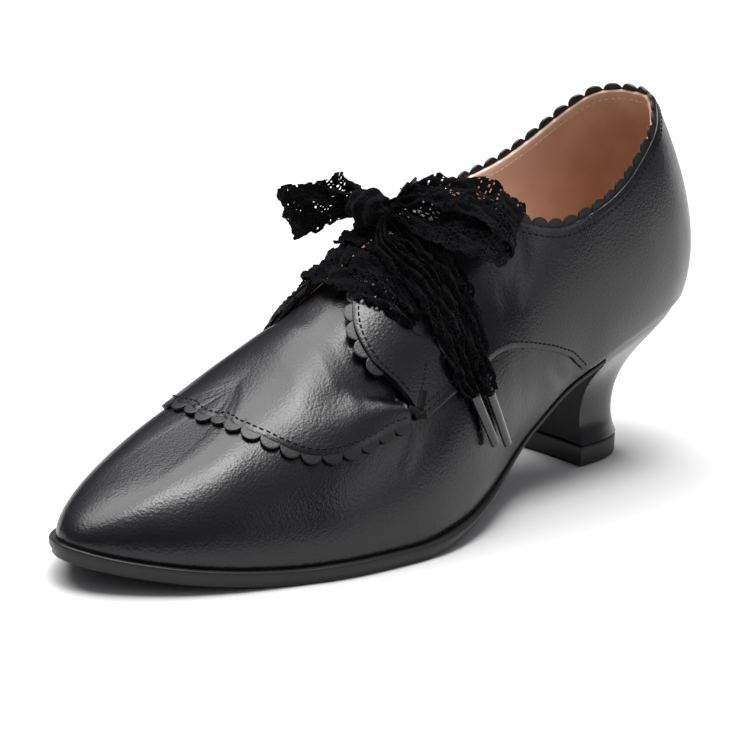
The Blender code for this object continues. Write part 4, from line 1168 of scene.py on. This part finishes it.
# Heel sections: share of the height, and how far back, sides and breast have moved
HEEL = (
    (0.00, 0.00, 0.00, 0.00), (0.08, -0.12, -0.09, 0.50), (0.18, -0.20, -0.18, 0.90),
    (0.30, -0.22, -0.20, 1.20), (0.42, -0.18, -0.14, 1.40), (0.55, 0.05, 0.00, 1.40),
    (0.67, 0.39, 0.22, 1.20), (0.79, 0.73, 0.52, 0.80), (0.90, 0.92, 0.82, 0.30),
    (1.00, 1.00, 1.00, 0.00),
)
HEEL_WAIST = 0.0020
HEEL_BLUNT = 0.78
BREAST_HOLLOW = 0.0008
HEEL_INSET = 0.0012
# Profile of the lift, bottom to top: height, and how far it is drawn in
LIFT_EDGE = (
    (0.0, 0.0012), (0.0002, 0.0007), (0.0006, 0.0002), (0.0011, 0.0), (0.0058, 0.0),
    (0.0066, 0.0002), (0.0069, 0.0005), (LIFT_HEIGHT, 0.0010),
)
HEEL_SIDES = 88
BREAST_SIDES = 20


def heel_outline(share, back, front, half):
    """One point of a D: share 0 to 0.5 round the back, 0.5 to 1 across the breast."""
    if share < 0.5:
        turn = share * 2 * pi
        return front - (front - back) * sin(turn) ** HEEL_BLUNT, half * cos(turn)
    across = (share - 0.5) * 2
    return front - BREAST_HOLLOW * 4 * across * (1 - across), half * (2 * across - 1)


def seat_outline(share):
    """The same D where the heel meets the seat, just inside the feather line."""
    front = float(station_at(BREAST_TOP / LENGTH, 1))
    row, out = at_station(front * (1 - 4 * share) if share < 0.5 else front)
    x, y = row[:2] - out * HEEL_INSET
    return (x, y) if share < 0.5 else (x, abs(y) * (2 * (share - 0.5) * 2 - 1))


def heel_rings(rings):
    """Points and faces of a closed stack of D rings."""
    size = HEEL_SIDES + BREAST_SIDES
    faces = ring_faces(len(rings), size)
    for start in (0, (len(rings) - 1) * size):
        for k in range(HEEL_SIDES // 2):
            across = HEEL_SIDES - k
            faces.append((start + k, start + k + 1, start + across - 1, start + across))
        faces.append(tuple(start + k % size for k in range(HEEL_SIDES, size + 1)))
    return np.array(rings).reshape(-1, 3), faces


def heel_turns():
    return ([k / (2 * HEEL_SIDES) for k in range(HEEL_SIDES)]
            + [0.5 + k / (2 * BREAST_SIDES) for k in range(BREAST_SIDES)])


class SHOE_OT_heel(bpy.types.Operator):
    """Make the covered spool heel and its lift"""
    bl_idname = "shoe.heel"
    bl_label = "Heel"

    def execute(self, context):
        rings = []
        base_front = HEEL_BASE_BACK + HEEL_BASE_LENGTH
        crowns = [seat_outline(share) for share in heel_turns()]
        low = LIFT_HEIGHT + GAP
        for height, back, side, breast in table_rows(HEEL, np.linspace(0, len(HEEL) - 1, 60)):
            ring = []
            for share, crown in zip(heel_turns(), crowns):
                foot = heel_outline(share, HEEL_BASE_BACK, base_front, HEEL_BASE_WIDTH / 2)
                rear = sin(share * 2 * pi) if share < 0.5 else 0.0
                x = (foot[0] + (crown[0] - foot[0]) * (back * rear + height * (1 - rear))
                     - HEEL_WAIST * breast * (1 - rear))
                y = foot[1] + (crown[1] - foot[1]) * side
                ring.append((x, y, low + (seat(crown[0]) - GAP - low) * height))
            rings.append(ring)
        piece = mesh_piece("heel_cover", *heel_rings(rings))
        finish_piece(piece, (FINISH["heel"], FINISH["breast"]), ["heel"], 38)
        for face in piece.data.polygons:
            face.material_index = int(face.normal.x > 0.72 and face.normal.z < 0.6)
        rings = []
        for height, draw in LIFT_EDGE:
            ring = []
            for share in heel_turns():
                place = heel_outline(share, HEEL_BASE_BACK + draw, base_front - draw,
                                     HEEL_BASE_WIDTH / 2 - draw)
                ring.append((*place, height))
            rings.append(ring)
        piece = mesh_piece("heel_lift_block", *heel_rings(rings))
        finish_piece(piece, FINISH["sole"], ["heel_lift"], 38)
        return {"FINISHED"}


# Ribbon routes: share of the foot, rise, half width as a share of LENGTH, and height
LOWER_BAR = (
    (0.571, 0.610, 0.012, 0.0014), (0.577, 0.700, 0.016, 0.0014), (0.586, 0.800, 0.021, 0.0014),
    (0.592, 0.900, 0.025, 0.0014), (0.594, 0.985, 0.026, 0.0014),
)
UPPER_BAR = (
    (0.520, 0.700, 0.012, 0.0014), (0.530, 0.800, 0.016, 0.0014), (0.537, 0.900, 0.018, 0.0014),
    (0.539, 0.985, 0.019, 0.0014),
)
TAIL_LEFT = (
    (0.555, 0.910, 0.0130, 0.0044), (0.555, 0.800, 0.0138, 0.0034), (0.549, 0.700, 0.0138, 0.0032),
    (0.543, 0.600, 0.0138, 0.0029), (0.537, 0.500, 0.0138, 0.0020), (0.529, 0.410, 0.0130, 0.0014),
    (0.520, 0.350, 0.0085, 0.0014),
)
TAIL_RIGHT = (
    (0.522, 0.910, 0.0130, 0.0044), (0.522, 0.800, 0.0138, 0.0036), (0.516, 0.700, 0.0138, 0.0033),
    (0.510, 0.600, 0.0138, 0.0022), (0.504, 0.500, 0.0138, 0.0014), (0.498, 0.400, 0.0130, 0.0014),
    (0.493, 0.318, 0.0085, 0.0014),
)
NEAR_LOOP = (
    ((130.5, 5.6, 93.6), (3.1, 1.4, -2.0)), ((124.0, 13.4, 90.6), (6.0, 3.2, -4.0)),
    ((115.5, 21.4, 87.4), (7.4, 4.4, -4.4)), ((107.5, 27.0, 84.6), (7.6, 4.6, -4.6)),
    ((102.4, 27.8, 84.8), (7.6, 4.6, -4.6)), ((100.8, 24.6, 88.8), (7.4, 4.4, -4.6)),
    ((105.0, 19.4, 93.8), (7.0, 4.2, -4.2)), ((113.0, 14.0, 97.4), (6.2, 3.6, -3.6)),
    ((122.0, 9.0, 98.4), (5.0, 2.6, -3.0)), ((128.2, 5.8, 97.0), (3.6, 1.8, -2.4)),
)
FAR_LOOP = (
    ((134.0, -8.4, 92.6), (1.2, 0.4, 3.4)), ((139.5, -13.5, 92.0), (2.6, 0.2, 5.8)),
    ((143.5, -20.0, 89.8), (3.4, 0.0, 7.4)), ((144.4, -26.5, 87.0), (3.6, 0.0, 8.2)),
    ((140.6, -30.6, 85.4), (3.6, 0.0, 8.4)), ((135.4, -29.0, 86.4), (3.4, 0.0, 8.0)),
    ((131.4, -22.5, 90.6), (3.0, 0.2, 7.0)), ((130.2, -15.5, 93.8), (2.4, 0.4, 5.4)),
    ((130.8, -10.2, 94.6), (1.4, 0.6, 3.8)),
)
KNOT_MIDDLE = np.array((134.8, -1.2, 92.6)) * MM
KNOT_RADII = np.array((0.0058, 0.0066, 0.0054))
AGLETS = {
    "aglet_left": (TAIL_LEFT, (0.490, 0.183)),
    "aglet_right": (TAIL_RIGHT, (0.459, 0.145)),
}
AGLET_HEIGHT = 0.0026      # how high a film tip's end lies over the last
AGLET_HALF = (0.0019, 0.0012)


def band_route(table, steps, over_ridge=False):
    """Middle, half-width way and normal of a ribbon that lies on the last."""
    rows = table_rows(table, np.linspace(0, len(table) - 1, steps), steady=True)
    side = np.ones(len(rows))
    if over_ridge:
        rows = np.concatenate([rows, rows[::-1]])
        side = np.concatenate([side, -side])
    foot, rise, half, height = rows.T
    station = station_at(foot, side)
    middle = off_last(station, rise, height + RIBBON_THICKNESS / 2)
    low = off_last(station_at(foot - half, side), rise, height + RIBBON_THICKNESS / 2)
    high = off_last(station_at(foot + half, side), rise, height + RIBBON_THICKNESS / 2)
    return middle, (high - low) / 2, last_normal(station, rise)


def loop_route(table, steps):
    """Middle, half-width way and normal of a bow loop, from the knot out and back."""
    table = np.array(table).reshape(-1, 6) * MM
    rows = table_rows(table, np.linspace(0, len(table) - 1, steps))
    middle, across = rows[:, :3], rows[:, 3:]
    normal = np.cross(np.gradient(middle, axis=0), across)
    return middle, across, normal / np.linalg.norm(normal, axis=1, keepdims=True)


def lace_solid(along, across, half):
    """Whether lace has thread at a flat place: corded scalloped edges, flowers, stems and net."""
    edge = half - 0.0022 + 0.0020 * np.abs(np.sin(pi * along / 0.0056)) ** 0.7
    inside = np.abs(across) < edge
    cord = np.abs(across) > edge - 0.0010
    repeat = 0.0150
    phase = along / repeat
    flower = np.zeros(along.shape, bool)
    for offset, side in ((0.0, 1), (0.5, -1)):
        x = (np.mod(phase - offset + 0.5, 1) - 0.5) * repeat
        y = across - side * half * 0.42
        radius = np.hypot(x, y)
        petals = 0.0044 + 0.0010 * np.cos(5 * np.arctan2(y, x) + offset * 3)
        slits = (np.abs(np.sin(2.5 * np.arctan2(y, x) + offset * 1.5)) < 0.22) & (radius > 0.0014)
        flower |= (radius < petals) & ~slits & (radius > 0.0004)
    stem = np.abs(across - half * 0.45 * np.sin(2 * pi * phase + 0.9)) < 0.0008
    net = (np.cos(2 * pi * along / 0.0026) * np.cos(2 * pi * across / 0.0026)) < 0.46
    return inside & (cord | flower | stem | net)


THREAD = 0.0003            # thickness of the lace
LACE_STEP = 0.00055        # distance between points along the lace
PLEATS = 3.0               # folds across its width
# Crumples of the lace: size and depth, in metres
CRUMPLES = ((0.0065, 1.4 * MM), (0.0026, 0.8 * MM), (0.0011, 0.35 * MM))


def lace_strip(name, middle, across, normal, flat_half, cells, ruffle=0.9):
    """Gathered lace ribbon along a route: pleated where it is drawn narrow, ruffled at its edges."""
    steps = np.linalg.norm(np.diff(middle, axis=0), axis=1)
    along = np.concatenate([[0], np.cumsum(steps)])
    number = int(along[-1] / LACE_STEP)
    at = np.linspace(0, along[-1], number)
    line = [np.stack([np.interp(at, along, part[:, k]) for k in range(3)], axis=1)
            for part in (middle, across, normal)]
    centre, way, up = line
    up /= np.linalg.norm(up, axis=1, keepdims=True)
    half = np.linalg.norm(way, axis=1)[:, None]
    share = np.linspace(-1, 1, cells)[None, :]
    gather = np.clip(1 - half / flat_half, 0, 0.8)
    place = at[:, None]
    wander = 1.1 * np.sin(place / 0.0083 + 0.8 * share) + 0.6 * np.sin(place / 0.0031 - 1.7 * share)
    wave = (np.sin(pi * PLEATS * share + 1.6 * wander)
            + 0.35 * np.sin(2.1 * pi * PLEATS * share + place / 0.006))
    wave = wave * flat_half * 0.15 * gather ** 1.5
    wave += ruffle * MM * np.sin(place / 0.0019 + 1.8 * np.sin(place / 0.007)) * np.abs(share) ** 2.5
    crumple = np.zeros((number, cells))
    for size, depth in CRUMPLES:
        for row in range(number):
            for column in range(cells):
                where = Vector((at[row] / size, share[0, column] * flat_half / size, size * 9000))
                crumple[row, column] += depth * noise.noise(where)
    reach = 1 + 0.06 * np.sin(place / 0.0029 + 1.2 * np.sign(share)) * np.abs(share) ** 2
    points = (centre[:, None] + way[:, None] * (share * reach)[..., None]
              + up[:, None] * (wave + crumple)[..., None])
    run, width = np.broadcast_arrays(place, share * flat_half)
    solid = lace_solid(run, width, flat_half)
    middle_solid = (solid[:-1, :-1].astype(int) + solid[1:, :-1] + solid[:-1, 1:] + solid[1:, 1:]) >= 3
    faces = []
    for row, column in zip(*np.nonzero(middle_solid)):
        start = int(row) * cells + int(column)
        faces.append((start, start + 1, start + cells + 1, start + cells))
    uvs = np.stack([run.ravel(), width.ravel()], axis=1)
    piece = mesh_piece(name, points.reshape(-1, 3), faces, closed=False, uvs=uvs)
    build = bmesh.new()
    build.from_mesh(piece.data)
    loose = [vertex for vertex in build.verts if not vertex.link_faces]
    bmesh.ops.delete(build, geom=loose, context="VERTS")
    build.to_mesh(piece.data)
    build.free()
    pick(piece)
    thick = piece.modifiers.new("thread", "SOLIDIFY")
    thick.thickness = THREAD
    thick.offset = 0
    bpy.ops.object.modifier_apply(modifier=thick.name)
    return piece, centre


class SHOE_OT_bars(bpy.types.Operator):
    """Run the lace ribbon across between the eyelets"""
    bl_idname = "shoe.bars"
    bl_label = "Lace bars"

    def execute(self, context):
        flat_half = context.scene.shoe_sizes.lace_width / 2
        for name, table, node_name, spread, lift in (
                ("lace_lower_crossing", LOWER_BAR, "lace_bar_lower", 0.25, 0.0),
                ("lace_upper_crossing", UPPER_BAR, "lace_bar_upper", 0.45, 0.0012)):
            middle, across, normal = band_route(table, 40, over_ridge=True)
            dive = np.clip(1 - np.minimum(np.arange(80), np.arange(80)[::-1]) / 6, 0, 1)[:, None]
            middle = middle - normal * 0.0030 * dive ** 2
            across = across * (1 + spread * (1 - dive)) * (1 - 0.40 * dive)
            middle = middle + normal * lift
            piece, _ = lace_strip(name, middle, across, normal, flat_half, 40, 0.6)
            finish_piece(piece, FINISH["lace"], [node_name], 60)
        return {"FINISHED"}


EYELETS = ((0.571, 0.600), (0.518, 0.690))     # share of LENGTH and rise
EYELET_HALF = (0.0016, 0.0019, 0.0012)         # half its size across, outwards and in height


class SHOE_OT_eyelets(bpy.types.Operator):
    """Add the worked rims of the eyelets"""
    bl_idname = "shoe.eyelets"
    bl_label = "Eyelets"

    def execute(self, context):
        bpy.ops.object.select_all(action="DESELECT")
        bpy.ops.mesh.primitive_torus_add(major_segments=28, minor_segments=10,
                                         major_radius=1.0, minor_radius=0.22)
        unit = unit_shape()
        frames = []
        for share, rise in EYELETS:
            for side in (1, -1):
                station = np.array([station_at(share + k * 0.004, side) for k in (-1, 0, 1)], float)
                path, out, normal = edge_frames(station, np.full(3, rise), QUARTER_STEP, 1)
                along = np.cross(out[1], normal[1])
                wide, long, high = EYELET_HALF
                frames.append((path[1], along * wide, out[1] * long, normal[1] * high))
        finish_piece(copies("eyelet_rims", unit, frames), FINISH["thread"], (), 60)
        return {"FINISHED"}


def smooth_line(parts, smooth=5):
    """Joins routes end to end and eases their joints."""
    line = np.concatenate(parts)
    for _ in range(smooth):
        line[1:-1] = (line[:-2] + 2 * line[1:-1] + line[2:]) / 4
    return line


class SHOE_OT_bow(bpy.types.Operator):
    """Tie the lace bow: two loops, two tails, the knot and the film tips"""
    bl_idname = "shoe.bow"
    bl_label = "Bow"

    def execute(self, context):
        width = context.scene.shoe_sizes.lace_width
        tips = self.aglets()
        self.knot()
        jobs = (("bow_lace_near", NEAR_LOOP, TAIL_LEFT, "left", 0.0020),
                ("bow_lace_far", FAR_LOOP, TAIL_RIGHT, "right", -0.0020))
        for (name, loop, tail, end, aside), tip in zip(jobs, tips):
            out = loop_route(loop, 60)
            down = band_route(tail, 50)
            start = (KNOT_MIDDLE + (0, aside, 0))[None]
            narrow = out[1][:1] * 0.55
            middle = smooth_line([start, out[0], start, down[0]], 3)
            spread = np.interp(np.linspace(0, 1, 50), (0, 0.35, 1), (0.75, 1.25, 1.45))[:, None]
            across = smooth_line([narrow, out[1] * 1.06, narrow, down[1] * spread], 6)
            normal = smooth_line([out[2][:1], out[2], down[2][:1], down[2]], 3)
            piece, line = lace_strip(name, middle, across, normal, width / 2, 42)
            finish_piece(piece, FINISH["lace"], [f"bow_loop_{end}", f"bow_tail_{end}"], 60)
            long = float(np.linalg.norm(np.diff(line, axis=0), axis=1).sum())
            self.report({"INFO"}, f"{name} {long:.3f} m")
        return {"FINISHED"}

    def knot(self):
        """Lace wound tight round the middle of the bow, with folds across it."""
        around, wide = 90, 46
        turn = np.linspace(0, 2 * pi, around, endpoint=False)[:, None]
        slope = np.linspace(0.12, pi - 0.12, wide)[None, :]
        folds = 1 + 0.10 * np.sin(9 * slope + 1.2 * np.sin(turn)) + 0.05 * np.sin(5 * turn + 4 * slope)
        unit = np.stack([np.sin(slope) * np.cos(turn), np.cos(slope) * np.ones_like(turn),
                         np.sin(slope) * np.sin(turn)], axis=-1)
        points = KNOT_MIDDLE + unit * KNOT_RADII * folds[..., None]
        faces = []
        for index in range(around):
            after = (index + 1) % around
            for corner in range(wide - 1):
                faces.append((index * wide + corner, index * wide + corner + 1,
                              after * wide + corner + 1, after * wide + corner))
        faces.append(tuple(index * wide for index in range(around)))
        faces.append(tuple(index * wide + wide - 1 for index in range(around)))
        flat = np.stack([np.broadcast_to(turn, (around, wide)) * KNOT_RADII[0],
                         np.broadcast_to(slope, (around, wide)) * KNOT_RADII[1]], axis=-1)
        piece = mesh_piece("bow_knot_wrap", points.reshape(-1, 3), faces, uvs=flat.reshape(-1, 2))
        return finish_piece(piece, FINISH["lace"], ["bow_knot"], 60)

    def aglets(self):
        """Film tips, rolled and pressed a little flat."""
        made = []
        for name, (tail, (foot, rise)) in AGLETS.items():
            end_foot, end_rise, _, height = tail[-1]
            end = off_last(station_at(end_foot, 1), end_rise, height + RIBBON_THICKNESS / 2)
            tip = off_last(station_at(foot, 1), rise, AGLET_HEIGHT)
            way = (tip - end) / np.linalg.norm(tip - end)
            normal = last_normal(station_at(foot, 1), rise)
            side = np.cross(way, normal)
            side /= np.linalg.norm(side)
            up = np.cross(side, way)
            bpy.ops.object.select_all(action="DESELECT")
            bpy.ops.mesh.primitive_cylinder_add(vertices=24, radius=1.0, depth=1.0)
            piece = bpy.context.active_object
            bpy.ops.object.mode_set(mode="EDIT")
            bpy.ops.mesh.select_all(action="SELECT")
            bpy.ops.mesh.bisect(plane_co=(0, 0, -0.38), plane_no=(0, 0, 1))
            bpy.ops.object.mode_set(mode="OBJECT")
            bevel = piece.modifiers.new("soft rim", "BEVEL")
            bevel.width = 0.02
            bevel.segments = 3
            bevel.limit_method = "ANGLE"
            bpy.ops.object.modifier_apply(modifier=bevel.name)
            points, faces = unit_shape()
            long = np.linalg.norm(tip - end) - 2 * GAP
            centre = (end + way * 2 * GAP + tip) / 2
            taper = 0.86 + 0.14 * np.clip((0.5 - points[:, 2:]) / 0.3, 0, 1)
            wide, high = AGLET_HALF
            placed = (centre + points[:, :1] * side * wide * taper
                      + points[:, 1:2] * up * high * taper + points[:, 2:] * way * long)
            tube = mesh_piece(name + "_film", placed, faces)
            made.append(finish_piece(tube, FINISH["aglet"], [name], 40))
        return made


class SHOE_PT_panel(bpy.types.Panel):
    """Sizes and colours of the shoe, and a button for each of its pieces"""
    bl_idname = "SHOE_PT_panel"
    bl_label = "Lace-up pump"
    bl_space_type = "VIEW_3D"
    bl_region_type = "UI"
    bl_category = "Shoe"

    def draw(self, context):
        for group in (context.scene.shoe_sizes, context.scene.shoe_colours):
            for name in group.__annotations__:
                self.layout.prop(group, name)
        for operator in OPERATORS:
            self.layout.operator(operator.bl_idname)


OPERATORS = (
    SHOE_OT_finishes, SHOE_OT_stage, SHOE_OT_vamp, SHOE_OT_quarters, SHOE_OT_lining, SHOE_OT_apron,
    SHOE_OT_scallops, SHOE_OT_stitching, SHOE_OT_outsole, SHOE_OT_heel, SHOE_OT_eyelets,
    SHOE_OT_bars, SHOE_OT_bow,
)
CLASSES = (ShoeSizes, ShoeColours, *OPERATORS, SHOE_PT_panel)


def register():
    for each in CLASSES:
        bpy.utils.register_class(each)
    bpy.types.Scene.shoe_sizes = bpy.props.PointerProperty(type=ShoeSizes)
    bpy.types.Scene.shoe_colours = bpy.props.PointerProperty(type=ShoeColours)


def unregister():
    del bpy.types.Scene.shoe_colours
    del bpy.types.Scene.shoe_sizes
    for each in reversed(CLASSES):
        bpy.utils.unregister_class(each)


def main():
    register()
    for operator in OPERATORS:
        name = operator.bl_idname.split(".")[1]
        getattr(bpy.ops.shoe, name)()


if __name__ == "__main__":
    main()
